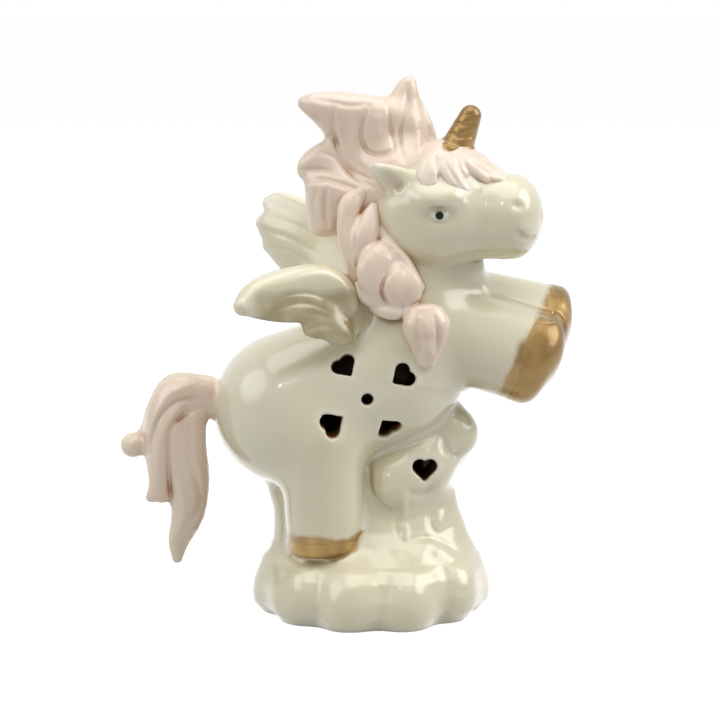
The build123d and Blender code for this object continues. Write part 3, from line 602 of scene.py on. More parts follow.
def wavy_skin(tree, shader, size_mm, rise_mm):
    """The glaze's slight waviness, a few millimetres across and hundredths of one high."""
    waves = patches(tree, size_mm, detail=1.0)
    bump = add_node(tree, "ShaderNodeBump", {"Height": waves, "Strength": 1.0, "Distance": rise_mm * MM})
    tree.links.new(bump.outputs[0], shader.inputs["Normal"])
    tree.links.new(bump.outputs[0], shader.inputs["Coat Normal"])


def gild(tree, shader, colour):
    """Gold lustre brushed over a colour: pale where the brush ran dry, brown where it pooled in grooves,
    a brown that also paints the shade there, and brown wherever a piece's mark of painted shade asks
    for it. The mark named gilt says how much of it there is."""
    gilt = add_node(tree, "ShaderNodeAttribute", attribute_name="gilt").outputs["Fac"]
    strokes = patches(tree, 5.0, detail=3.0, stretch=(1.0, 1.0, 0.4))
    stops = [(0.3, "#84642a"), (0.47, "#997836"), (0.62, "#ab8943"), (0.78, "#c4a463")]
    gold = add_node(tree, "ShaderNodeValToRGB", {"Fac": strokes}, stops).outputs["Color"]
    crease = add_node(tree, "ShaderNodeAttribute", attribute_name="crease").outputs["Fac"]
    painted_gold_shade = add_node(tree, "ShaderNodeAttribute", attribute_name="recess").outputs["Fac"]
    crease = add_node(tree, "ShaderNodeMath", {0: crease, 1: painted_gold_shade}, operation="MAXIMUM").outputs[0]
    # Gold pooled in creases, browned further as painted shade
    tones = {SHARE: crease, FIRST: gold, SECOND: linear("#69491a")}
    gold = add_node(tree, "ShaderNodeMix", tones, data_type="RGBA").outputs[MIXED]
    dry = add_node(tree, "ShaderNodeMath", {0: strokes, 1: 0.35}, operation="SUBTRACT").outputs[0]
    cover = add_node(tree, "ShaderNodeMath", {0: gilt, 1: dry}, operation="SUBTRACT").outputs[0]
    cover = {"Value": cover, "From Min": -0.1, "From Max": 0.6}
    cover = add_node(tree, "ShaderNodeMapRange", cover).outputs[0]
    most = add_node(tree, "ShaderNodeMath", {0: gilt, 1: 2.5}, operation="MULTIPLY").outputs[0]
    cover = add_node(tree, "ShaderNodeMath", {0: cover, 1: most}, operation="MINIMUM").outputs[0]
    tones = {SHARE: cover, FIRST: colour, SECOND: gold}
    painted = add_node(tree, "ShaderNodeMix", tones, data_type="RGBA").outputs[MIXED]
    metal = add_node(tree, "ShaderNodeMath", {0: cover, 1: 0.55}, operation="MULTIPLY").outputs[0]
    tree.links.new(metal, shader.inputs["Metallic"])
    return painted


# The clay's own tone, its drift, the glaze where it is thin, and where it pools in creases, a tone
# # darkened to paint the shade there too
ivory_tones = ("#e8e1c3", "#e0d8b8", "#f0ebd8", "#a09064")


def make_ivory():
    """Glossy glazed porcelain, warm white, a little translucent."""
    material, tree, shader = start_material(
        "glazed_ivory_porcelain", Roughness=0.3, IOR=1.5, Coat_Weight=1.0, Coat_Roughness=0.13,
        Subsurface_Weight=0.18, Subsurface_Radius=(1.0, 0.8, 0.55), Subsurface_Scale=0.0022,
    )
    colour = glazed_colour(tree, *ivory_tones)
    # The pink wash on the lips and in the ears, the pale almond of each eye, and a grey line along its
    # # upper edge, painted shade under the lid
    for mark, paint in (("blush", "#d8ad98"), ("almond", "#dfe1dc"), ("lid", "#8f8c78")):
        share = add_node(tree, "ShaderNodeAttribute", attribute_name=mark).outputs["Fac"]
        tones = {SHARE: share, FIRST: colour, SECOND: linear(paint)}
        colour = add_node(tree, "ShaderNodeMix", tones, data_type="RGBA").outputs[MIXED]
    colour = gild(tree, shader, colour)
    # Inside, the wall is bare of glaze and painted brown, darker the deeper it lies: painted shade of
    # # the hollow. The foot ring is bare white biscuit
    inside = add_node(tree, "ShaderNodeAttribute", attribute_name="inside").outputs["Fac"]
    stops = [(0.1, "#b07c48"), (0.5, "#8a5628"), (0.95, "#6b421c")]
    inside_shade = add_node(tree, "ShaderNodeValToRGB", {"Fac": inside}, stops).outputs["Color"]
    inside = add_node(tree, "ShaderNodeMapRange", {"Value": inside, "From Max": 0.3}).outputs[0]
    tones = {SHARE: inside, FIRST: colour, SECOND: inside_shade}
    colour = add_node(tree, "ShaderNodeMix", tones, data_type="RGBA").outputs[MIXED]
    biscuit = add_node(tree, "ShaderNodeAttribute", attribute_name="biscuit").outputs["Fac"]
    tones = {SHARE: biscuit, FIRST: colour, SECOND: linear("#ece7da")}
    colour = add_node(tree, "ShaderNodeMix", tones, data_type="RGBA").outputs[MIXED]
    tree.links.new(colour, shader.inputs["Base Color"])
    bare = add_node(tree, "ShaderNodeMath", {0: inside, 1: biscuit}, operation="MAXIMUM").outputs[0]
    glaze = add_node(tree, "ShaderNodeMath", {0: 1.0, 1: bare}, operation="SUBTRACT").outputs[0]
    tree.links.new(glaze, shader.inputs["Coat Weight"])
    wavy_skin(tree, shader, 7.0, 0.10)
    return material


def make_pink():
    """Pink slip under the same gloss glaze: softer than the ivory's, with broad, pale highlights."""
    material, tree, shader = start_material(
        "glazed_pink_slip", Roughness=0.4, IOR=1.5, Coat_Weight=0.7, Coat_Roughness=0.12,
        Subsurface_Weight=0.18, Subsurface_Radius=(1.0, 0.7, 0.5), Subsurface_Scale=0.0022,
    )
    # The last tone is the pink glaze pooled in creases, darkened to paint the shade there too
    colour = glazed_colour(tree, "#f3e0cb", "#efd8c4", "#f7eada", "#d2aa8b")
    tree.links.new(colour, shader.inputs["Base Color"])
    wavy_skin(tree, shader, 5.0, 0.08)
    return material


def make_gold():
    """Fired gold lustre, brushed on over the glaze: a soft metal sheen with the brush's streaks in it."""
    material, tree, shader = start_material("brushed_gold_lustre", Roughness=0.32, Coat_Weight=0.6)
    colour = gild(tree, shader, glazed_colour(tree, *ivory_tones))
    tree.links.new(colour, shader.inputs["Base Color"])
    wavy_skin(tree, shader, 3.0, 0.06)
    return material


def make_black():
    """Black enamel, a dot of gloss paint under the glaze: near black, with one small highlight."""
    material, tree, shader = start_material("gloss_black_enamel", Roughness=0.2, Specular_IOR_Level=0.2)
    tones = {SHARE: patches(tree, 0.6), FIRST: linear("#080706"), SECOND: linear("#161310")}
    colour = add_node(tree, "ShaderNodeMix", tones, data_type="RGBA").outputs[MIXED]
    tree.links.new(colour, shader.inputs["Base Color"])
    return material


def moulded(name, dark, light, roughness, grain_mm, grain_rise_mm, **shader_values):
    """A moulded plastic or rubber: two near tones, so that it isn't flat, and the grain of its mould."""
    material, tree, shader = start_material(name, Roughness=roughness, **shader_values)
    tones = {SHARE: patches(tree, 4.0), FIRST: linear(dark), SECOND: linear(light)}
    colour = add_node(tree, "ShaderNodeMix", tones, data_type="RGBA").outputs[MIXED]
    tree.links.new(colour, shader.inputs["Base Color"])
    grain = {"Height": patches(tree, grain_mm, detail=1.0), "Strength": 0.6, "Distance": grain_rise_mm * MM}
    tree.links.new(add_node(tree, "ShaderNodeBump", grain).outputs[0], shader.inputs["Normal"])
    return material


def plated(name, dark, light, roughness, stretch):
    """Rolled or turned metal: fine lines along its working direction, which smear its highlights."""
    material, tree, shader = start_material(name, Metallic=1.0)
    lines = patches(tree, 0.35, stretch=stretch)
    tones = {SHARE: lines, FIRST: linear(dark), SECOND: linear(light)}
    colour = add_node(tree, "ShaderNodeMix", tones, data_type="RGBA").outputs[MIXED]
    tree.links.new(colour, shader.inputs["Base Color"])
    sheen = {"Value": lines, "To Min": roughness - 0.06, "To Max": roughness + 0.1}
    tree.links.new(add_node(tree, "ShaderNodeMapRange", sheen).outputs[0], shader.inputs["Roughness"])
    return material


ivory = make_ivory()
pink = make_pink()
gold = make_gold()
black = make_black()

# Body and legs: barrel, neck and legs are one form, hollow in the barrel and pierced on the right side
light_well = (7.0, 0.0)
light_well_radius = 6.0
heart_size = 6.3
heart_ring_radius = 10.1
heart_ring_turn = 14.5
middle_hole_radius = 1.5
foreleg_length = 30.0
foreleg_aside = 6.0
hind_leg_length = 28.5
hind_leg_lean = 0.04
hind_foot_ahead = -12.0
hind_foot_aside = 10.7
barrel = cone(rump, chest, rump_radius, chest_radius)
hollow = cone(rump, chest, rump_radius - porcelain_wall, chest_radius - porcelain_wall)


def foreleg_line(side, drop_angle, ahead_share, up_share):
    """A foreleg's root on the chest, and its foot, as far below the root as the leg drops from the level."""
    drop = math.radians(drop_angle)
    root = chest + np.array([ahead_share * chest_radius, side * foreleg_aside, up_share * chest_radius])
    return root, root + np.array([math.cos(drop), 0.0, -math.sin(drop)]) * foreleg_length


def hind_leg_line(side):
    """A hind leg's root in the rump, and its foot on the cloud."""
    foot_height = rump[2] - rump_radius * 0.36 - hind_leg_length
    foot = np.array([hind_foot_ahead, side * hind_foot_aside, foot_height])
    return foot + np.array([-hind_leg_lean * hind_leg_length, 0.0, hind_leg_length]), foot


# Each leg: its root, its foot, the radii there and the gilt hoof's length
leg_lines = {
    "right_fore": (*foreleg_line(-1, 19.0, 0.52, 0.56), 9.1, 8.4, 6.5),
    "left_fore": (*foreleg_line(1, 10.5, 0.87, 0.96), 9.1, 8.4, 6.5),
    "right_hind": (*hind_leg_line(-1), 10.5, 9.4, 5.6),
    "left_hind": (*hind_leg_line(1), 10.5, 9.4, 5.6),
}
hoof_rims = {"right_fore": 3.0, "left_fore": 3.0, "right_hind": 1.8, "left_hind": 1.8}
leg_forms = {leg: limb(*line[:4], hoof_rims[leg]) for leg, line in leg_lines.items()}
fore_root, fore_foot = [(leg_lines["right_fore"][k] + leg_lines["left_fore"][k]) / 2 for k in (0, 1)]
# The web that makes the forelegs one form, and the throat
fore_web = limb(fore_root - LEFT * 1.5, fore_foot - LEFT * 1.5, 9.6, 8.6, 3.0)
throat = ball(at_depth((461, 268), -2.0), 5.6)
# The neck's sizes up its length: how far up, and the shares of its radius and of its depth
neck_stations = [(0.12, 1.0, 1.0), (0.45, 0.9, 0.95), (0.72, 0.78, 0.84), (1.0, 0.7, 0.78)]


def neck_form():
    """The neck: round at the chest, deeper than it is wide towards the head."""
    axis = unit(neck_reach)
    length = np.linalg.norm(neck_reach)
    ahead = unit(np.cross(LEFT, axis))
    aside = np.cross(axis, ahead)
    reach, size, depth = [np.array(column) for column in zip(*neck_stations)]

    def distance(x, y, z):
        x, y, z = x - chest[0], y - chest[1], z - chest[2]
        along = (x * axis[0] + y * axis[1] + z * axis[2]) / length
        half = neck_radius * np.interp(along, reach, size)
        deep = half * np.interp(along, reach, depth)
        u = (x * ahead[0] + y * ahead[1] + z * ahead[2]) / half
        v = (x * aside[0] + y * aside[1] + z * aside[2]) / deep
        near = np.sqrt(u * u + v * v)
        steep = np.sqrt((u / half) ** 2 + (v / deep) ** 2)
        side = near * (near - 1) / np.maximum(steep, 1e-3)
        return np.maximum(side, np.maximum(reach[0] - along, along - reach[-1]) * length)

    ends = np.array([chest + neck_reach * reach[0], cheek])
    return distance, ends.min(0) - neck_radius, ends.max(0) + neck_radius


neck = neck_form()


def right_skin(along, lift):
    """A point on the barrel's right side and the way out of the skin there."""
    radius = rump_radius + (chest_radius - rump_radius) * along / barrel_length
    out = LEFT * -math.cos(lift) + np.cross(barrel_axis, LEFT) * math.sin(lift)
    return rump + barrel_axis * along + out * radius, out


def punches():
    """Four hearts round a hole, through the barrel's right side."""
    ring_along = barrel_length * 0.72
    ring_lift = math.radians(-4.5)
    middle, middle_out = right_skin(ring_along, ring_lift)
    through = middle_out * porcelain_wall * 2
    yield bore(middle - through, middle + through, middle_hole_radius)
    for quarter in range(4):
        bearing = math.radians(heart_ring_turn + 90 * quarter)
        lift = ring_lift + heart_ring_radius * math.sin(bearing) / rump_radius
        spot, out = right_skin(ring_along + heart_ring_radius * math.cos(bearing), lift)
        upward = spot - middle
        upward = unit(upward - out * (upward @ out))
        yield heart(spot, np.cross(upward, out), upward, porcelain_wall * 2, heart_size)


def hoof_zone(leg):
    """Below zero in the stretch of a leg that is its hoof. Fore hooves part half way between the legs."""
    root, foot, *radii, band = leg_lines[leg]
    axis = unit(foot - root)
    start = foot - axis * band
    pair = {"right_fore": "left_fore", "left_fore": "right_fore"}.get(leg)

    def distance(x, y, z):
        behind = (start[0] - x) * axis[0] + (start[1] - y) * axis[1] + (start[2] - z) * axis[2]
        if pair:
            own, other = leg_forms[leg][0](x, y, z), leg_forms[pair][0](x, y, z)
            behind = np.maximum(behind, (own - other) / 2 - 0.2)
        return behind

    return distance


def shape_forelegs(clay):
    """The two forelegs, pressed together into one soft form with a faint groove between them."""
    clay.add(leg_forms["left_fore"])
    clay.add(leg_forms["right_fore"], 9.0)
    clay.add(fore_web, 8.0)
    clay.press([[((470, 292), (500, 299), (530, 308), (562, 320)), 4.0, -0.3]])


# Any gold above this height is on the forelegs
fore_gilt_from = 55


def gilding(places):
    """How much gold the brush left: all of it on the hooves, fading out over their upper edges. One band
    runs round both forelegs, and it is thin where they meet."""
    band_starts = [foot - unit(foot - root) * band for root, foot, *radii, band in leg_lines.values()]
    across = unit(band_starts[1] - band_starts[0])
    ahead = unit(fore_foot - fore_root)
    ahead = unit(ahead - across * (ahead @ across))
    fore_along = (places - band_starts[0]) @ ahead
    hind_along = band_starts[2][2] - places[:, 2]
    fore = places[:, 2] > fore_gilt_from
    wander = brush_noise(places, 9.0, 5) * 1.1
    band_along = np.where(fore, fore_along, hind_along) + wander
    gilt = ramp_share(band_along, np.where(fore, -2.2, -1.2), 0.9)
    legs = np.min([leg_forms[leg][0](*places.T) for leg in leg_forms], axis=0)
    right, left = [leg_forms[leg][0](*places.T) for leg in ("right_fore", "left_fore")]
    between = np.exp(-(((right - left) / 2.0) ** 2)) * fore
    return gilt * (1 - 0.25 * between) * (1 - ramp_share(legs, 0.8, 3.5) * (1 - fore))


def leg_smear(places):
    """A gilt smear where the near hind leg meets the cloud's column."""
    foot = leg_lines["right_hind"][1]
    rear = ramp_share(foot[0] - 7.4 - places[:, 0], 0.0, 1.0) * (places[:, 1] < 0)
    smear = rear * ramp_share(places[:, 2], 18.0, 19.5) * (1 - ramp_share(places[:, 2], 22.0, 25.5))
    return smear * (0.6 + 0.5 * brush_noise(places, 3.0, 2))


def make_body():
    clay = Clay((-43, -23, 15), (50, 23, 106), 0.45)
    clay.add(barrel)
    clay.add(neck, 5.0)
    clay.add(throat, 7.0)
    forelegs = clay.twin()
    forelegs.skin[:] = FAR
    shape_forelegs(forelegs)
    clay.skin = soft_min(clay.skin, forelegs.skin, 4.0)
    for leg in ("right_hind", "left_hind"):
        clay.add(leg_forms[leg], 6.0)
    # Each leg ends a little inside its hoof
    for leg in leg_lines:
        zone = hoof_zone(leg)
        near_leg = leg_forms[leg][0]
        clay.keep(lambda x, y, z: np.where(near_leg(x, y, z) < 3.5, -1.8 - zone(x, y, z), -FAR))
    whole = clay.twin()
    clay.cut(hollow, 0.3)
    for punch in punches():
        clay.cut(punch, 0.45)
    clay.cut(bore((*light_well, 20.0), (*light_well, 53.0), light_well_radius), 0.4)

    def body_marks(places):
        inside = ramp_share(depth_under(whole, places), 0.5, 2.6)
        gilt = np.maximum(gilding(places), leg_smear(places))
        return {"inside": inside, "gilt": gilt * (inside < 0.05)}

    nodes = ["torso_shell", "neck", "right_foreleg", "left_foreleg", "right_hind_leg", "left_hind_leg"]
    near = head_forms + [column] + braid_forms
    fire("porcelain_body", clay, ivory, nodes, near, body_marks)


def hoof_marks(places):
    return {"gilt": gilding(places)}


def make_hooves():
    """The gilt hooves, which stand a few hundredths of a millimetre proud of the legs."""
    for leg, (root, foot, *radii, band) in leg_lines.items():
        middle = foot - unit(foot - root) * band / 2
        clay = Clay(middle - 12, middle + 12, 0.35)
        if "fore" in leg:
            shape_forelegs(clay)
        else:
            clay.add(leg_forms[leg])
        zone = hoof_zone(leg)
        rise = 0.05 if leg == "right_fore" else 0.03
        clay.swell(lambda x, y, z: rise + 0.1 * ramp_share(-zone(x, y, z), 0.3, 2.5))
        clay.keep(zone)
        near = [] if "fore" in leg else [mound]
        fire(f"gilded_{leg}_hoof", clay, gold, [f"{leg}_hoof"], near, hoof_marks)


# Cloud: a ring of puffs round a mound, and the column that holds the belly
base_length = 61.0
base_width = 58.0
base_height = 18.4
column_length = 46.0
column_width = 22.0
column_height = 34.0
socket_radius = 16.0
socket_top = 14.8
flange_radius = 17.5
flange_top = 2.2
# The puffs: bearings, and sizes and heights in shares
puff_radius = 8.0
puffs = [
    (0, 0.9, 0.8),
    (38, 0.95, 0.8),
    (74, 1.02, 0.86),
    (110, 0.97, 0.8),
    (146, 1.0, 0.84),
    (182, 0.84, 0.84),
    (218, 0.94, 0.8),
    (252, 1.05, 0.68),
    (288, 0.98, 0.66),
    (324, 0.98, 0.86),
]
# Mound and column, by heights, shifts ahead and half widths in shares of their own sizes
mound_stations = [(0.0, 0.82, 0.82), (0.4, 0.93, 0.9), (0.7, 0.88, 0.8)]
column_stations = [
    (-0.3, 0.02, 1.04, 1.1),
    (0.0, 0.0, 1.04, 1.0),
    (0.24, -0.035, 0.98, 0.9),
    (0.5, -0.095, 0.98, 0.8),
    (1.0, 0.0, 0.96, 0.8),
]
# The skirt runs the column's foot smoothly out over the mound, by heights, shifts and half widths
skirt_stations = [
    (5.0, 0.2, 28.6, 24.8),
    (12.0, 0.2, 27.8, 25.0),
    (14.3, 0.2, 27.2, 23.2),
    (16.6, 0.6, 25.8, 20.7),
    (19.5, 0.5, 24.4, 17.3),
    (23.0, 0.2, 23.3, 14.5),
    (27.0, -0.6, 22.6, 12.5),
    (31.0, -1.2, 22.5, 11.2),
    (36.0, -3.0, 21.8, 9.0),
]
# The column's lobes: places in shares of its length, width and height, and sizes in shares
lobe_radius = 7.8
column_lobes = [
    (0.46, -0.16, 0.83, 0.8),
    (0.29, -0.26, 0.62, 1.0),
    (0.13, -0.38, 0.5, 0.85),
    (0.4, 0.3, 0.7, 1.0),
]
mound_shoulder = 6.0
mound_ovals = [
    (base_height * up, 0.0, base_length / 2 * long, base_width / 2 * wide)
    for up, long, wide in mound_stations
]
column_ovals = [
    (
        base_height + column_height * up,
        column_length * shift,
        column_length / 2 * long,
        column_width / 2 * wide,
    )
    for up, shift, long, wide in column_stations
]
mound = stack(mound_ovals, mound_shoulder)
column = stack(column_ovals)
# What the photograph shows on the cloud: curls in low relief and the soft valleys of its skirt
cloud_strokes = [
    [((371, 466), (371, 487), (378, 501), (389, 509), (398, 511)), 3.4, -0.56],
    [((384, 470), (384, 486), (389, 498)), 9.1, 0.49],
    [((443, 437), (446, 448), (452, 455), (461, 451)), 3.4, -0.56],
    [((406, 487), (413, 493), (424, 491), (434, 484)), 4.5, -0.49],
    [((404, 497), (404, 508), (403, 518)), 3.9, 0.33],
    [((401, 512), (396, 522), (398, 536), (405, 543), (412, 537)), 2.9, -0.3],
    [((404, 522), (405, 530), (405, 537)), 4.2, 0.3],
    [((438, 507), (431, 516), (431, 527), (438, 534), (448, 530)), 2.9, -0.3],
    [((444, 511), (441, 518), (441, 525)), 4.7, 0.33],
    [((412, 540), (427, 538), (441, 542), (458, 553)), 3.4, -0.41],
    [((416, 548), (432, 547), (448, 556)), 7.8, 0.49],
    [((366, 552), (378, 566), (384, 590), (382, 632)), 9.1, -0.78],
    [((318, 566), (319, 585), (319, 605), (321, 632)), 9.1, -0.78],
    [((432, 560), (444, 576), (446, 600), (440, 628)), 9.1, -0.78],
    [((276, 560), (281, 580), (283, 600), (287, 618)), 7.8, -0.58],
    [((345, 566), (352, 580), (350, 604)), 14.3, 0.68],
    [((402, 560), (414, 580), (413, 606)), 14.3, 0.68],
    [((300, 566), (301, 584), (302, 600)), 11.7, 0.58],
    [((466, 560), (470, 578), (467, 594)), 11.7, 0.58],
]


def puff_ball(bearing_angle, size, lift):
    """A puff on the mound's rim, which it doesn't pass."""
    radius = puff_radius * size
    bearing = math.radians(bearing_angle)
    ahead = (base_length / 2 - radius) * math.cos(bearing)
    return ball((ahead, (base_width / 2 - radius) * math.sin(bearing), radius * lift), radius)


def make_cloud():
    clay = Clay((-33, -31, -3), (33, 31, 56), 0.42)
    clay.add(mound)
    for puff in puffs:
        clay.add(puff_ball(*puff), 4.0)
    clay.add(column, 9.0)
    clay.add(stack(skirt_stations, 3.0), 4.0)
    for ahead, aside, up, size in column_lobes:
        spot = (column_length * ahead, column_width * aside, base_height + column_height * up)
        clay.add(ball(spot, lobe_radius * size), 4.5)
    clay.press(cloud_strokes)
    clay.cut(barrel)
    hind_legs = [leg_forms["right_hind"], leg_forms["left_hind"]]
    for form in hind_legs:
        clay.cut(form)
    clay.seat([barrel] + hind_legs, 2.4)
    clay.keep(lambda x, y, z: -z)
    whole = clay.twin()
    clay.cut(swollen(hollow, 1.5))
    for punch in punches():
        clay.cut(swollen(punch, 0.1))
    # The lamp's socket, its flange's seat, the light well and the fifth heart
    clay.cut(bore((0, 0, -3), (0, 0, socket_top), socket_radius), 0.2)
    clay.cut(bore((0, 0, -3), (0, 0, flange_top), flange_radius), 0.2)
    clay.cut(bore((*light_well, 10.0), (*light_well, 60.0), light_well_radius), 0.3)
    heart_ahead, heart_up = light_well[0] + column_length * 0.13, base_height + column_height * 0.59
    heart_spot = (heart_ahead, -column_width / 2, heart_up)
    clay.cut(heart(heart_spot, (1, 0, 0), (0, 0, 1), column_width / 2, heart_size), 0.6)

    def cloud_marks(places):
        height = places[:, 2]
        foot = 1 - ramp_share(height + 0.25 * brush_noise(places, 5.0, 7), 0.5, 0.9)
        inside = ramp_share(depth_under(whole, places), 0.5, 2.6) * (1 - foot)
        hoof = np.min([leg[0](*places.T) for leg in hind_legs], axis=0)
        fringe = 0.8 * (1 - ramp_share(hoof + 0.8 * brush_noise(places, 2.5, 4), 0.1, 1.3)) * (height < 24)
        return {"inside": inside, "biscuit": foot, "gilt": fringe * (inside < 0.05)}

    near = [barrel] + hind_legs
    fire("porcelain_cloud", clay, ivory, ["cloud_base", "cloud_column"], near, cloud_marks)


# Head: a turned muzzle, a round brow and cheeks that stand a little proud of the neck. The muzzle's profile
# is places in shares of the head's length, and radii in shares of the cheek's
head_profile = [
    (-0.285, 0.12), (-0.26, 0.55), (-0.13, 0.90), (0.0, 1.0), (0.2, 0.97), (0.38, 0.91),
    (0.5, 0.91), (0.585, 0.86), (0.65, 0.69), (0.695, 0.42), (0.715, 0.12),
]
muzzle_form = turned(cheek, head_axis, [(head_length * a, cheek_radius * r) for a, r in head_profile])
brow_middle = on_head(0.46, -0.02, 0.72)
brow_form = ball(brow_middle, brow_radius)
jowl_radius = 13.6
jowl_half_width = 14.0
cheek_form = pillow(on_head(0.1, 0.0, 0.02), jowl_radius, jowl_half_width, head_side, 2.7)
head_forms = [muzzle_form, brow_form, cheek_form]

# Where the horn stands, and the dip in the hair and the brow before it
horn_lean = math.radians(22.0)
horn_axis = head_axis * math.sin(horn_lean) + UP * math.cos(horn_lean)
horn_root = on_head(0.65, -0.06, 1.25)
horn_seat = ball(horn_root - head_side * 4.6 + UP * 1.9 - head_axis * 0.9, 1.9)
# The ears' leaves: ahead, outward and up in shares of the length, and the width's share
ear_length = 12.0
ear_half_width = 4.3
ear_rows = [
    (0.06, -0.02, -0.08, 0.8),
    (-0.2, 0.12, 0.16, 0.95),
    (-0.46, 0.22, 0.34, 0.72),
    (-0.72, 0.3, 0.52, 0.24),
]
# The eyes' modelling: radii ahead, up and out of the skin
lid_radii = (5.2, 2.0, 2.0)
eye_socket_radii = (3.6, 2.0, 1.25)
eyeball_radii = (2.5, 1.6, 1.35)
pupil_radii = (1.05, 1.05, 0.42)
nostril_radii = (1.1, 0.7, 0.8)


def skin_axes(out):
    """Ahead, up and out at a place on the head's skin."""
    ahead = unit(head_axis - out * (head_axis @ out))
    return np.array([ahead, np.cross(out, ahead), out])


def ear_forms(side):
    """The leaf of an ear, and the hollow in its face: side is -1 for the right."""
    root = on_head(-0.2, 0.74 * side, 0.56)
    ways = [head_axis * ahead + head_side * aside * side + UP * up for ahead, aside, up, width in ear_rows]
    spots = np.array([root + way * ear_length for way in ways])
    halves = np.array([ear_half_width * width for ahead, aside, up, width in ear_rows])
    leaf_way = unit(spots[-1] - spots[0])
    out = head_side * side + head_axis * 0.35 - UP * 0.45
    out = unit(out - leaf_way * (out @ leaf_way))
    leaf = lock(spots, halves, 0.55, out)
    bowl = lock(spots[1:] + out * 2.45, halves[1:] * np.array([0.3, 0.58, 0.6]), 0.6, out)
    return leaf, bowl


# The soft modelling about the eye, the cheek and the mouth's corner
head_strokes = [
    [((515, 226), (515, 233), (519, 240)), 4.0, -0.25],
    [((524, 227), (530, 230), (536, 230)), 5.0, 0.2],
    [((414, 208), (430, 201), (447, 205)), 6.0, 0.35],
    [((488, 190), (484, 212), (488, 236)), 12.0, -0.5],
]


def make_head():
    clay = Clay((-3, -24, 87), (47, 17, 125), 0.32)
    clay.add(muzzle_form)
    clay.add(cheek_form, 5.0)
    clay.add(brow_form, 4.0)
    clay.cut(horn_seat, 1.5)
    eye, eye_out = clay.seen((439.5, 215.5))
    nostril, nostril_out = clay.seen((517.5, 205.5))
    smile = [clay.seen(pixel) for pixel in ((520, 232.5), (523.5, 236.5), (529, 238), (534.5, 236.5))]
    for side in (-1, 1):
        place = mirrored if side > 0 else np.asarray
        way = mirrored_way if side > 0 else np.asarray
        axes = skin_axes(way(eye_out))
        # A soft brow over a shallow socket, and the eyeball in it
        clay.add(egg(place(eye) - axes[2] * 1.3 + UP * 4.2 - head_axis * 0.8, lid_radii, axes), 3.5)
        clay.cut(egg(place(eye) + axes[2] * 0.7, eye_socket_radii, axes), 1.6)
        clay.add(egg(place(eye) - axes[2] * 0.95, eyeball_radii, axes), 0.3)
        axes = skin_axes(way(nostril_out))
        clay.cut(egg(place(nostril) + way(nostril_out) * 0.5, nostril_radii, axes), 1.6)
        lips = np.array([place(spot) for spot, out in smile])
        clay.cut(lock(lips, np.array([0.3, 0.5, 0.45, 0.25]), 1.0, way(smile[2][1])), 0.9)
        leaf, bowl = ear_forms(side)
        clay.add(leaf, 2.2)
        clay.cut(bowl, 1.0)
    clay.press(head_strokes)
    clay.seat([neck], 1.4)

    def head_marks(places):
        almond = lid = blush = np.zeros(len(places))
        for side in (-1, 1):
            place = mirrored if side > 0 else np.asarray
            axes = skin_axes(mirrored_way(eye_out) if side > 0 else eye_out)
            ahead, up, out = ((places - place(eye)) @ axes.T).T
            shape = np.abs(up + 0.1) / (1.15 * np.maximum(1 - (ahead / 2.4) ** 2, 0.02))
            shown = np.abs(out) < 3
            almond = np.maximum(almond, (1 - ramp_share(shape, 0.7, 1.15)) * shown)
            # A grey line round the almond's upper half: painted shade under the lid
            rim = np.exp(-(((shape - 1.05) / 0.3) ** 2))
            lid = np.maximum(lid, rim * shown * ramp_share(up, -0.3, 0.4))
            from_lips = [np.linalg.norm(places - place(spot), axis=1) for spot, way in smile]
            from_lips = np.min(from_lips, axis=0)
            blush = np.maximum(blush, 0.4 * (1 - ramp_share(from_lips, 0.1, 1.3)))
            bowl = ear_forms(side)[1][0](*places.T)
            blush = np.maximum(blush, 0.25 * (1 - ramp_share(bowl, 0.2, 1.0)))
        return {"almond": 0.7 * almond, "lid": 0.45 * lid, "blush": blush}

    near = [neck] + mane_forms
    fire("porcelain_head", clay, ivory, ["head", "right_ear", "left_ear"], near, head_marks)
    eyes = {"right_eye": (eye, eye_out), "left_eye": (mirrored(eye), mirrored_way(eye_out))}
    for name, (spot, out) in eyes.items():
        bead = Clay(spot - 2.2, spot + 2.2, 0.1)
        bead.add(egg(spot + out * 0.2, pupil_radii, skin_axes(out)))
        fire(name, bead, black, [])


# The horn's turns
horn_strokes = [
    [((446, 131), (460, 137), (476, 135)), 2.6, -0.42],
    [((450, 120), (464, 125), (479, 122)), 2.4, -0.3],
    [((455, 111), (467, 115), (480, 111)), 1.6, -0.15],
    [((444, 142), (459, 148), (475, 146)), 1.8, -0.25],
]


def make_horn():
    """A stout blunt cone with shallow turns pressed round it."""
    clay = Clay(horn_root - 9, horn_root + np.array([11, 9, 18]), 0.22)
    foot = horn_root - horn_axis * 1.6 - head_axis * 0.5
    tip = horn_root + horn_axis * 11.0 - head_axis * 0.3
    clay.add(cone(foot, tip, 4.75, 2.75))
    clay.press(horn_strokes, far_side=1.0)
    clay.seat([swollen(brow_form, 0.7)], 0.9)

    def horn_marks(places):
        gilt = ramp_share((places - horn_root) @ horn_axis + brush_noise(places, 4.0, 9), 0.0, 1.6)
        # Painted shade: the whole horn's gold is browned a little, in soft patches
        return {"gilt": gilt, "recess": 0.4 + 0.2 * brush_noise(places, 5.0, 6)}

    fire("gilded_horn", clay, gold, ["horn"], head_forms, horn_marks)


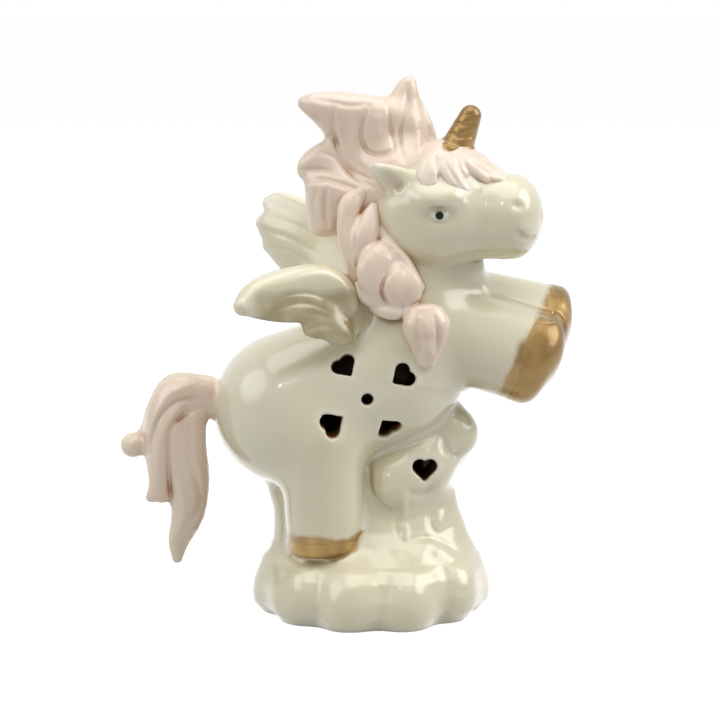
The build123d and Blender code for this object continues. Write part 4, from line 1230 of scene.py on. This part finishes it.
# Hair: each row is ahead, to the left and up, in shares of the lock's length, and the width's share
crest = [
    (0.0, 0.0, 0.0, 1.0),
    (-0.08, 0.0, 0.36, 0.93),
    (-0.12, -0.03, 0.63, 0.66),
    (-0.1, -0.05, 0.84, 0.42),
    (-0.055, -0.05, 0.94, 0.24),
]
sweep = [
    (0.0, 0.0, 0.0, 1.0),
    (-0.25, 0.0, 0.25, 1.0),
    (-0.49, 0.0, 0.39, 0.82),
    (-0.69, -0.02, 0.475, 0.47),
    (-0.81, -0.03, 0.51, 0.22),
]
ruff = [
    (0.0, 0.0, 0.0, 1.0),
    (-0.34, 0.0, 0.14, 1.0),
    (-0.62, 0.0, 0.22, 0.77),
    (-0.82, 0.0, 0.17, 0.5),
    (-0.9, -0.02, 0.1, 0.24),
]
nape = [
    (0.0, 0.0, 0.0, 0.92),
    (-0.41, 0.0, -0.12, 1.0),
    (-0.74, 0.0, -0.16, 1.0),
    (-0.9, 0.0, -0.16, 0.96),
]
back_lock = [
    (0.0, 0.0, 0.0, 0.8),
    (-0.16, 0.02, -0.26, 1.0),
    (-0.22, 0.05, -0.52, 0.9),
    (-0.2, 0.06, -0.76, 0.6),
    (-0.14, 0.06, -0.92, 0.27),
]
far_lock = [
    (0.0, 0.0, 0.0, 0.7),
    (-0.12, 0.2, -0.22, 1.0),
    (-0.16, 0.3, -0.48, 0.95),
    (-0.1, 0.33, -0.72, 0.6),
    (0.0, 0.31, -0.88, 0.24),
]
# The mane's locks: rows, place of the root on the head, length, width, depth's share and blunt end
mane_rows = [
    (crest, (-0.25, 0.1, 1.2), 20.5, 13.8, 0.8, 0.0),
    (sweep, (-0.5, 0.06, 1.05), 31.0, 15.2, 0.8, 0.0),
    (ruff, (-0.7, 0.06, 0.68), 25.5, 13.4, 0.8, 0.0),
    (nape, (-0.9, 0.12, 0.38), 19.0, 13.4, 0.8, 1.6),
    (back_lock, (-0.8, 0.4, 0.3), 27.0, 14.0, 0.9, 0.0),
    (far_lock, (-0.5, 0.8, 0.5), 27.0, 11.0, 0.6, 0.0),
]


def hair(root, length, width, depth_share, path, blunt=0.0):
    """A lock by its rows of shares."""
    spots = np.array([root + np.array(share[:3]) * length for share in path])
    halves = np.array([share[3] for share in path]) * width / 2
    return lock(spots, halves, depth_share, LEFT, blunt=blunt)


def drawn_lock(rows, depth_share, blunt=0.0):
    """A lock by what the photograph shows: each row is a pixel on its middle, its y and its half width."""
    spots = np.array([at_depth((across, down), y) for across, down, y, half in rows])
    return lock(spots, np.array([row[3] for row in rows]), depth_share, LEFT, blunt=blunt)


mane_forms = [
    hair(on_head(*root), length, width, depth_share, path, blunt)
    for path, root, length, width, depth_share, blunt in mane_rows
]
crown_radius = 11.0
mane_forms.append(ball(on_head(-0.55, 0.0, 0.75), crown_radius))
mane_forms.append(ball(on_head(-0.35, 0.25, 0.6), crown_radius * 0.95))
# Hair that fills the mass between the crest and the sweep, and between the ruff and the nape
crest_fill = [(316, 105, -3.5, 1.6), (345, 108, -3.5, 2.8), (372, 111, -3.5, 3.6), (394, 116, -3.5, 3.6)]
ruff_fill = [(321, 187, -2.5, 2.8), (336, 188, -3.5, 4.6), (356, 200, -4.0, 5.5), (372, 214, -4.0, 5.5)]
nape_fill = [(326, 182, -1.5, 4.2), (325, 204, -1.0, 4.5), (326, 227, -1.0, 4.4)]
mane_forms += [drawn_lock(crest_fill, 1.2), drawn_lock(ruff_fill, 1.1)]
mane_forms.append(drawn_lock(nape_fill, 1.2, blunt=1.5))
# Grooves and strands of the mane, as the photograph shows them
mane_strokes = [
    [((333, 108), (334, 129), (338, 149), (346, 166), (358, 179), (374, 187)), 2.9, -0.78],
    [((369, 106), (363, 122), (361, 135), (364, 146), (371, 153), (382, 155), (392, 151), (399, 144)),
     2.6, -0.78],
    [((378, 112), (377, 126), (379, 140)), 6.6, 0.78],
    [((388, 99), (390, 119), (392, 135), (395, 154)), 2.4, -0.59],
    [((406, 84), (408, 98), (406, 114), (401, 128), (400, 145), (403, 160)), 2.9, -0.78],
    [((417, 97), (424, 114), (428, 130), (431, 146)), 2.4, -0.54],
    [((414, 118), (417, 134), (418, 150)), 4.4, 0.48],
    [((349, 119), (353, 135), (355, 147), (362, 160), (373, 169)), 4.0, 0.59],
    [((345, 155), (349, 165), (356, 172), (365, 177), (376, 181)), 2.2, -0.48],
    [((319, 152), (334, 157), (345, 168), (354, 178)), 2.6, -0.54],
    [((309, 182), (324, 180), (341, 184), (357, 190)), 2.9, -0.89],
    [((301, 107), (313, 113), (326, 122)), 2.9, -0.48],
    [((314, 99), (334, 103), (352, 106), (368, 104)), 2.6, -0.39],
    [((301, 170), (313, 169), (327, 171), (340, 178)), 2.6, -0.48],
    [((327, 187), (325, 205), (327, 226)), 2.9, -0.59],
    [((316, 188), (314, 206), (316, 226)), 2.4, -0.39],
]


def make_mane():
    clay = Clay((-22, -17, 82), (23, 21, 139), 0.36)
    for form in mane_forms:
        clay.add(form, 3.4)
    clay.press(mane_strokes)
    clay.seat(head_forms + [neck], 1.4)
    for side in (-1, 1):
        clay.cut(swollen(ear_forms(side)[1], 1.0))
    nodes = ["mane_crown", "mane_crest_tuft", "mane_sweep_tuft", "mane_ruff_tuft", "mane_nape_tuft"]
    nodes += ["mane_back_lock", "mane_far_lock"]
    fire("combed_mane", clay, pink, nodes, head_forms + [neck] + braid_forms)


# Forelock: lobes that fall over the brow round the horn, by the pixels under their middles and half widths
near_lobes = [
    [((443, 156), (433, 163), (429, 173), (430, 184)), (2.2, 3.1, 3.2, 1.9)],
    [((447, 159), (451, 169), (457, 179), (468, 190)), (2.2, 2.9, 2.9, 0.9)],
    [((468, 159), (479, 167), (490, 174), (502, 178)), (2.6, 4.2, 3.9, 1.7)],
]
forelock_strokes = [
    [((436, 158), (437, 168), (440, 178), (447, 187)), 2.2, -0.7],
    [((457, 160), (460, 170), (465, 179), (471, 189)), 2.2, -0.7],
    [((470, 160), (482, 166), (496, 175)), 2.0, -0.4],
    [((447, 165), (452, 175), (459, 185)), 1.8, -0.35],
    [((428, 160), (424, 170), (426, 181)), 2.0, -0.35],
]


def make_forelock():
    head = Clay((-3, -24, 87), (47, 17, 128), 0.5)
    for form in head_forms:
        head.add(form, 4.0)
    clay = Clay((-2, -20, 100), (40, 14, 125), 0.3)
    clay.add(swollen(brow_form, 0.5))
    # The cap of hair under the lobes ends at a line that drops a little towards the muzzle
    clay.keep(lambda x, y, z: 114.0 - 0.2 * (x - 14.0) - z)
    for pixels, halves in near_lobes:
        seen = [head.seen(pixel) for pixel in pixels]
        spots = np.array([spot for spot, out in seen])
        out = unit(seen[1][1] + seen[2][1])
        for place, way in ((np.asarray, np.asarray), (mirrored, mirrored_way)):
            path = np.array([place(spot) for spot in spots])
            clay.add(lock(path, np.array(halves), 0.42, way(out)), 1.4)
    clay.cut(horn_seat, 1.5)
    clay.press(forelock_strokes)
    clay.seat(head_forms, 1.6, sink=0.4)
    nodes = ["forelock_side", "forelock_middle", "forelock_front", "forelock_far"]
    fire("forelock", clay, pink, nodes, head_forms)


# Braid: teardrop strands laid over one another on a bed that closes their gaps, and the tassel at its end.
# Each strand: its rows, and its depth's share of its width
braid_strands = [
    ([(362, 194, -9.0, 1.9), (351, 204, -10.4, 2.9), (347, 222, -11.6, 2.6), (348, 241, -12.6, 2.5),
      (351, 256, -13.4, 2.0), (359, 270, -14.0, 0.9)], 0.75),
    ([(374, 206, -10.6, 1.3), (369, 221, -12.2, 2.8), (364, 236, -13.4, 3.4), (359, 250, -13.9, 2.4),
      (355, 262, -14.1, 0.9)], 0.7),
    ([(385, 241, -13.0, 1.2), (380, 256, -15.2, 4.3), (373, 272, -16.4, 4.2), (374, 289, -16.8, 3.0),
      (384, 303, -16.6, 1.0)], 0.64),
    ([(400, 263, -15.4, 1.3), (397, 276, -16.9, 3.3), (395, 289, -17.5, 3.5), (398, 306, -17.4, 1.5)], 0.7),
    ([(405, 264, -15.4, 1.2), (409, 279, -17.0, 2.7), (411, 291, -17.5, 2.9), (410, 307, -17.3, 1.6)], 0.7),
    ([(358, 284, -15.0, 0.9), (365, 295, -16.0, 1.8), (374, 301, -16.4, 1.8), (386, 304, -16.6, 1.0)], 0.85),
    ([(373, 307, -16.0, 0.9), (382, 311, -16.8, 1.6), (393, 313, -17.2, 1.8), (406, 313, -17.2, 1.4)], 0.85),
    ([(379, 222, -10.6, 1.2), (389, 245, -13.2, 2.1), (402, 262, -14.8, 2.2), (418, 288, -15.8, 1.8)], 0.8),
    ([(376, 297, -15.4, 2.2), (392, 302, -15.9, 2.4), (407, 305, -16.1, 2.2)], 0.7),
]
braid_forms = [drawn_lock(rows, depth_share) for rows, depth_share in braid_strands]
bed_form = drawn_lock(
    [(360, 200, -7.0, 5.5), (366, 236, -9.0, 7.0), (378, 268, -11.4, 7.6), (396, 300, -13.2, 6.6)], 0.46
)
tassel_form = drawn_lock(
    [(425, 311, -18.2, 4.6), (426, 326, -18.8, 6.0), (427, 344, -18.4, 4.6), (426, 361, -17.8, 2.6)],
    0.66,
    blunt=1.8,
)
braid_strokes = [
    [((364, 208), (357, 230), (354, 252)), 1.6, -0.35],
    [((379, 240), (367, 252), (360, 266)), 1.6, -0.45],
    [((396, 266), (385, 279), (382, 292), (387, 303)), 1.6, -0.45],
    [((384, 247), (380, 262), (377, 276)), 1.8, -0.2],
    [((350, 208), (346, 224), (348, 242)), 1.8, -0.2],
]
tassel_strokes = [
    [((435, 318), (438, 336), (436, 352)), 2.6, -0.9],
    [((417, 322), (418, 340), (419, 358)), 2.4, -0.7],
    [((427, 326), (428, 340), (428, 356)), 3.4, 0.4],
    [((410, 334), (424, 340), (440, 336)), 5.0, -0.4],
]


def make_braid():
    body = [neck, barrel]
    clay = Clay((-14, -25, 73), (19, 2, 115), 0.3)
    clay.add(bed_form)
    for form in braid_forms:
        clay.add(form, 0.7)
    clay.press(braid_strokes, far_side=0.0)
    clay.seat(body + head_forms, 1.2)
    fire("plaited_braid", clay, pink, ["braid"], body + head_forms + [tassel_form])
    clay = Clay(tassel_form[1] - 3, tassel_form[2] + 3, 0.3)
    clay.add(tassel_form)
    clay.press(tassel_strokes, far_side=0.0)
    clay.seat(body + [leg_forms["right_fore"]] + braid_forms, 1.5)
    fire("braid_end_tassel", clay, pink, ["braid_tassel"], body + braid_forms)


# Tail: three locks that part and curl
tail_long = [
    (0.0, 0.0, 0.0, 0.8),
    (-0.1, 0.0, 0.01, 0.87),
    (-0.18, -0.02, -0.08, 0.96),
    (-0.19, -0.04, -0.23, 1.0),
    (-0.17, -0.04, -0.4, 0.96),
    (-0.17, -0.02, -0.58, 0.74),
    (-0.22, 0.0, -0.73, 0.48),
    (-0.23, 0.0, -0.83, 0.24),
]
tail_middle = [
    (0.0, 0.0, 0.0, 0.85),
    (-0.18, -0.05, 0.01, 1.0),
    (-0.28, -0.08, -0.17, 1.0),
    (-0.28, -0.08, -0.39, 0.93),
    (-0.3, -0.05, -0.61, 0.68),
    (-0.38, -0.03, -0.74, 0.3),
]
tail_curl = [
    (0.12, 0.0, 0.0, 0.7),
    (-0.2, 0.0, 0.0, 0.86),
    (-0.34, -0.04, -0.2, 0.86),
    (-0.4, -0.07, -0.4, 0.9),
    (-0.5, -0.1, -0.52, 0.75),
]
# The tail's locks: rows, place of the root in shares of the rump's radius, length and width
tail_rows = [
    (tail_long, (-0.92, 0.0, 0.09), 49.3, 11.8),
    (tail_middle, (-1.13, -0.1, 0.235), 36.7, 8.4),
    (tail_curl, (-1.23, 0.14, 0.285), 27.8, 7.4),
]
# The strand between the middle lock and the curl, and the round ends of the curl and of the middle lock
tail_fill = [(168, 394, -2.5, 2.6), (156, 422, -2.5, 2.8), (154, 450, -2.5, 2.6), (159, 480, -2.5, 2.2)]
curl_end_radius = 3.2
hook_end_radius = 2.3
tail_strokes = [
    [((199, 397), (187, 399), (174, 403), (160, 416), (154, 432), (150, 453)), 2.2, -0.7],
    [((203, 407), (184, 415), (171, 428), (168, 453), (169, 481), (172, 502)), 2.4, -0.8],
    [((190, 386), (170, 394), (156, 414), (150, 436)), 4.0, 0.5],
    [((192, 402), (175, 413), (163, 432), (158, 458), (160, 480)), 3.4, 0.5],
    [((190, 426), (189, 456), (198, 486), (200, 505), (186, 528)), 3.6, -0.5],
    [((176, 437), (176, 465), (182, 495), (184, 514), (176, 535)), 4.4, 0.45],
    [((143, 437), (135, 434), (129, 440), (131, 448), (138, 449)), 1.8, -0.5],
]


def make_tail():
    clay = Clay((-66, -12, 10), (-33, 11, 68), 0.35)
    for path, root, length, width in tail_rows:
        clay.add(hair(rump + np.array(root) * rump_radius, length, width, 0.88, path), 1.4)
    clay.add(drawn_lock(tail_fill, 1.0), 2.0)
    clay.add(ball(at_depth((133, 445), -1.5), curl_end_radius), 1.4)
    clay.add(ball(at_depth((162, 494), -2.5), hook_end_radius), 2.0)
    clay.press(tail_strokes)
    clay.seat([barrel], 2.0)
    clay.cut(swollen(hollow, 1.0))
    nodes = ["tail_long_lock", "tail_middle_lock", "tail_curl_lock"]
    fire("parted_tail", clay, pink, nodes, [barrel])


# Wings: each row is ahead along the wing, up across it, and the half width, all shares of the wing's length
wing_length = 34.0
wing_arm_radius = 2.8
right_feathers = [
    [(-0.06, 0.08, 0.19), (0.16, 0.12, 0.2), (0.42, 0.13, 0.2), (0.66, 0.12, 0.185), (0.86, 0.085, 0.12),
     (0.975, 0.04, 0.04)],
    [(0.04, 0.0, 0.12), (0.2, -0.07, 0.13), (0.36, -0.115, 0.09), (0.46, -0.14, 0.035)],
    [(0.07, -0.06, 0.1), (0.14, -0.14, 0.11), (0.21, -0.2, 0.07), (0.25, -0.235, 0.03)],
]
right_arm = [
    (0.95, 0.06, 0.5),
    (0.8, 0.17, 0.8),
    (0.55, 0.235, 1.05),
    (0.325, 0.265, 1.15),
    (0.17, 0.22, 1.1),
    (0.08, 0.12, 0.85),
    (0.06, 0.02, 0.5),
]
right_wing_strokes = [
    [((262, 312), (276, 299), (292, 294), (308, 293), (322, 297)), 2.0, -0.30],
    [((262, 318), (280, 309), (298, 304), (313, 305), (326, 310)), 2.0, -0.27],
    [((288, 319), (302, 314), (316, 314), (329, 318)), 2.0, -0.25],
    [((308, 331), (320, 326), (333, 328)), 2.0, -0.25],
    [((320, 339), (332, 334), (344, 338)), 1.8, -0.20],
]
left_feathers = [
    [(-0.06, 0.1, 0.15), (0.2, 0.16, 0.17), (0.46, 0.16, 0.15), (0.7, 0.1, 0.12), (0.86, 0.04, 0.09),
     (0.94, -0.01, 0.04)],
    [(-0.06, 0.0, 0.14), (0.3, 0.0, 0.14), (0.6, -0.06, 0.12), (0.8, -0.12, 0.09), (0.87, -0.16, 0.04)],
    [(-0.06, -0.1, 0.14), (0.24, -0.12, 0.13), (0.5, -0.18, 0.1), (0.7, -0.235, 0.04)],
    [(-0.1, -0.16, 0.12), (0.14, -0.19, 0.1), (0.32, -0.23, 0.07), (0.42, -0.26, 0.035)],
    [(-0.04, 0.04, 0.22), (0.3, 0.02, 0.26), (0.58, -0.02, 0.22), (0.8, -0.07, 0.12)],
]
left_arm = [(-0.06, 0.2, 0.9), (0.2, 0.27, 0.95), (0.44, 0.26, 0.9), (0.66, 0.18, 0.65), (0.84, 0.1, 0.4)]
left_wing_strokes = [
    [((270, 203), (290, 210), (309, 219), (330, 233)), 2.2, -0.13],
    [((264, 216), (288, 222), (308, 231), (326, 243)), 2.2, -0.14],
    [((266, 232), (286, 237), (304, 246), (322, 256)), 2.2, -0.13],
    [((273, 247), (288, 251), (302, 259), (314, 266)), 2.2, -0.11],
    [((268, 209), (290, 216), (312, 226)), 3.0, 0.09],
    [((262, 224), (286, 230), (306, 239)), 3.0, 0.09],
]


def make_wing(name, side, angles, root_shares, feathers, arm, strokes, shade):
    """A wing: a plate of feathers, and the rolled edge of its arm. The angles are how far it is swept
    aside, how far it rises and how far it is tilted, and the shade is how dark the painted shade on
    the plate under its arm is."""
    sweep_angle, rise_angle, tilt = [math.radians(angle) for angle in angles]
    reach = np.array([-math.cos(sweep_angle), side * math.sin(sweep_angle), 0.0]) * math.cos(rise_angle)
    reach[2] = math.sin(rise_angle)
    level = unit(UP - reach * (reach @ UP))
    broad = level * math.cos(tilt) + np.cross(reach, level) * math.sin(tilt)
    facing = np.cross(reach, broad)
    outward = facing * np.sign(facing[1]) * side
    root = chest + np.array(root_shares) * chest_radius
    clay = Clay(root + np.minimum(reach * 38, 0) - 14, root + np.maximum(reach * 38, 0) + 14, 0.38)
    for row in feathers:
        spots = np.array([root + (reach * ahead + broad * up) * wing_length for ahead, up, half in row])
        spots[0] -= outward * 2.2
        halves = np.array([half for ahead, up, half in row]) * wing_length
        clay.add(lock(spots - outward * 0.7, halves, 0.3, facing), 2.8)
    spots = np.array([root + (reach * ahead + broad * up) * wing_length for ahead, up, size in arm])
    halves = np.array([size for ahead, up, size in arm]) * wing_arm_radius
    clay.add(lock(spots + outward * 0.7, halves, 0.9, facing), 3.0)
    clay.press(strokes)
    clay.seat([barrel, neck], 2.5)
    clay.cut(swollen(hollow, 1.0))

    def wing_marks(places):
        # Painted shade on the plate that lies back under the arm: the crease tone laid over it
        ahead, up = ((places - root) @ np.array([reach, broad]).T / wing_length).T
        plate_shade = (1 - ramp_share(up, 0.08, 0.24)) * (1 - ramp_share(ahead, 0.75, 1.0))
        plate_shade *= ramp_share(ahead, -0.1, 0.1)
        return {"recess": shade * plate_shade * (0.85 + 0.3 * brush_noise(places, 8.0, 3))}

    fire(f"feathered_{name}", clay, ivory, [name], [barrel, neck], wing_marks)


def make_lamp_unit():
    """The lamp's own solids keep their shapes and get moulded, metal and lens finishes."""
    # Satin shells with soft highlights, dull rubber, a milky lens, a green board and yellow domes
    shell = moulded("satin_abs", "#d9d6cc", "#e4e1d8", 0.45, 0.5, 0.02)
    rubber = moulded("matte_silicone_rubber", "#1c1c1c", "#262626", 0.75, 0.4, 0.02)
    see_through = {"Transmission_Weight": 0.6, "IOR": 1.49}
    lens = moulded("frosted_acrylic", "#eeeee8", "#f6f6f2", 0.4, 0.3, 0.02, **see_through)
    board = moulded("green_solder_mask", "#0f4a26", "#175c31", 0.35, 0.8, 0.01)
    led = moulded("clear_epoxy_over_phosphor", "#e8d67a", "#f2e49a", 0.25, 0.5, 0.01)
    switch = moulded("satin_black_nylon", "#141414", "#202020", 0.5, 0.4, 0.02)
    slider = moulded("satin_red_nylon", "#8e1d18", "#a02720", 0.45, 0.4, 0.02)
    # The metals' fine lines: along X on the cell and on the screw, and along Y on the contact's strip
    nickel = plated("nickel_plated_steel", "#a9a9a5", "#c6c6c1", 0.28, (1.0, 6.0, 1.0))
    brass = plated("rolled_brass", "#a07c34", "#c9a458", 0.3, (6.0, 1.0, 1.0))
    zinc = plated("zinc_plated_steel", "#8f9090", "#b4b5b5", 0.32, (1.0, 4.0, 1.0))
    finishes = {
        "lamp_housing": shell,
        "battery_cover": shell,
        "grip_ring": rubber,
        "lamp_lens": lens,
        "led_board": board,
        "leds": led,
        "coin_cell": nickel,
        "cell_contact": brass,
        "switch_body": switch,
        "switch_slider": slider,
        "cover_screw": zinc,
    }
    for name, material in finishes.items():
        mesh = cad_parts[name].data
        mesh.materials.clear()
        mesh.materials.append(material)


make_body()
make_hooves()
make_cloud()
make_head()
make_horn()
make_mane()
make_forelock()
make_braid()
make_tail()
right_plan = (right_feathers, right_arm, right_wing_strokes)
left_plan = (left_feathers, left_arm, left_wing_strokes)
make_wing("right_wing", -1, (25.8, 1.8, 23.0), (-0.46, -0.79, 0.95), *right_plan, shade=1.0)
make_wing("left_wing", 1, (33.7, 39.8, 16.0), (-0.56, 0.63, 1.16), *left_plan, shade=0.1)
make_lamp_unit()

# Camera at the photograph's angle
target = Vector(camera_target) * MM
camera = bpy.data.objects.new("camera", bpy.data.cameras.new("camera"))
camera.data.lens = 126.5
camera.data.clip_start = 0.01
camera.location = Vector(camera_eye) * MM
camera.rotation_euler = Vector(camera_back).to_track_quat("Z", "Y").to_euler()
bpy.context.scene.collection.objects.link(camera)
bpy.context.scene.camera = camera


def softbox(name, direction, distance, size, power):
    """A round soft light that faces the figurine."""
    light = bpy.data.lights.new(name, "AREA")
    light.shape = "DISK"
    light.size = size
    light.energy = power
    lamp = bpy.data.objects.new(name, light)
    direction = Vector(direction).normalized()
    lamp.location = target + direction * distance
    lamp.rotation_euler = direction.to_track_quat("Z", "Y").to_euler()
    bpy.context.scene.collection.objects.link(lamp)


# Broad light from above and from both sides, and two small lamps for the pin-sharp highlights
softbox("overhead_light", (0.0, -0.14, 1.0), 1.0, 1.1, 5.8)
softbox("left_light", (-0.9, -0.3, 0.6), 1.2, 0.9, 4.2)
softbox("right_light", (0.95, -0.2, 0.7), 1.2, 0.9, 7.4)
softbox("spark_light", (-0.35, -0.9, 0.8), 0.9, 0.022, 0.2)
softbox("second_spark_light", (0.25, -0.9, 0.95), 0.9, 0.02, 0.14)

# A white room for the camera, the gloss and the lens, and a dim, slightly warm one for everything else
world = bpy.data.worlds.new("studio")
bpy.context.scene.world = world
world.use_nodes = True
tree = world.node_tree
tree.nodes.clear()
rays = add_node(tree, "ShaderNodeLightPath").outputs
straight_rays = {0: rays["Is Camera Ray"], 1: rays["Is Transmission Ray"]}
straight = add_node(tree, "ShaderNodeMath", straight_rays, operation="MAXIMUM").outputs[0]
seen_rays = {0: straight, 1: rays["Is Glossy Ray"]}
seen = add_node(tree, "ShaderNodeMath", seen_rays, operation="MAXIMUM").outputs[0]
white = {"Color": linear("#ffffff"), "Strength": 1.0}
white = add_node(tree, "ShaderNodeBackground", white).outputs[0]
room_light = {"Color": linear("#fbfaf6"), "Strength": 0.18}
room_light = add_node(tree, "ShaderNodeBackground", room_light).outputs[0]
shown = add_node(tree, "ShaderNodeMixShader", {0: seen, 1: room_light, 2: white}).outputs[0]
add_node(tree, "ShaderNodeOutputWorld", {"Surface": shown})

# A white floor that keeps the figurine's shadow, and is clear from below, where the lamp unit comes out
floor_mesh = bpy.data.meshes.new("floor")
floor_mesh.from_pydata([(-30, -30, 0), (30, -30, 0), (30, 30, 0), (-30, 30, 0)], [], [(0, 1, 2, 3)])
floor = bpy.data.objects.new("floor", floor_mesh)
bpy.context.scene.collection.objects.link(floor)
paper, tree, shader = start_material("white_paper", Specular_IOR_Level=0.0, Base_Color=linear("#bababa"))
rays = add_node(tree, "ShaderNodeLightPath").outputs
shader.inputs["Emission Color"].default_value = linear("#ffffff")
seen_rays = {0: rays["Is Camera Ray"], 1: rays["Is Glossy Ray"]}
seen = add_node(tree, "ShaderNodeMath", seen_rays, operation="MAXIMUM").outputs[0]
glow = add_node(tree, "ShaderNodeMath", {0: seen, 1: 0.9}, operation="MULTIPLY").outputs[0]
tree.links.new(glow, shader.inputs["Emission Strength"])
below = add_node(tree, "ShaderNodeNewGeometry").outputs["Backfacing"]
clear = add_node(tree, "ShaderNodeBsdfTransparent").outputs[0]
shown = add_node(tree, "ShaderNodeMixShader", {0: below, 1: shader.outputs[0], 2: clear}).outputs[0]
tree.links.new(shown, tree.nodes["Material Output"].inputs["Surface"])
floor_mesh.materials.append(paper)

bpy.context.scene.view_settings.view_transform = "Standard"
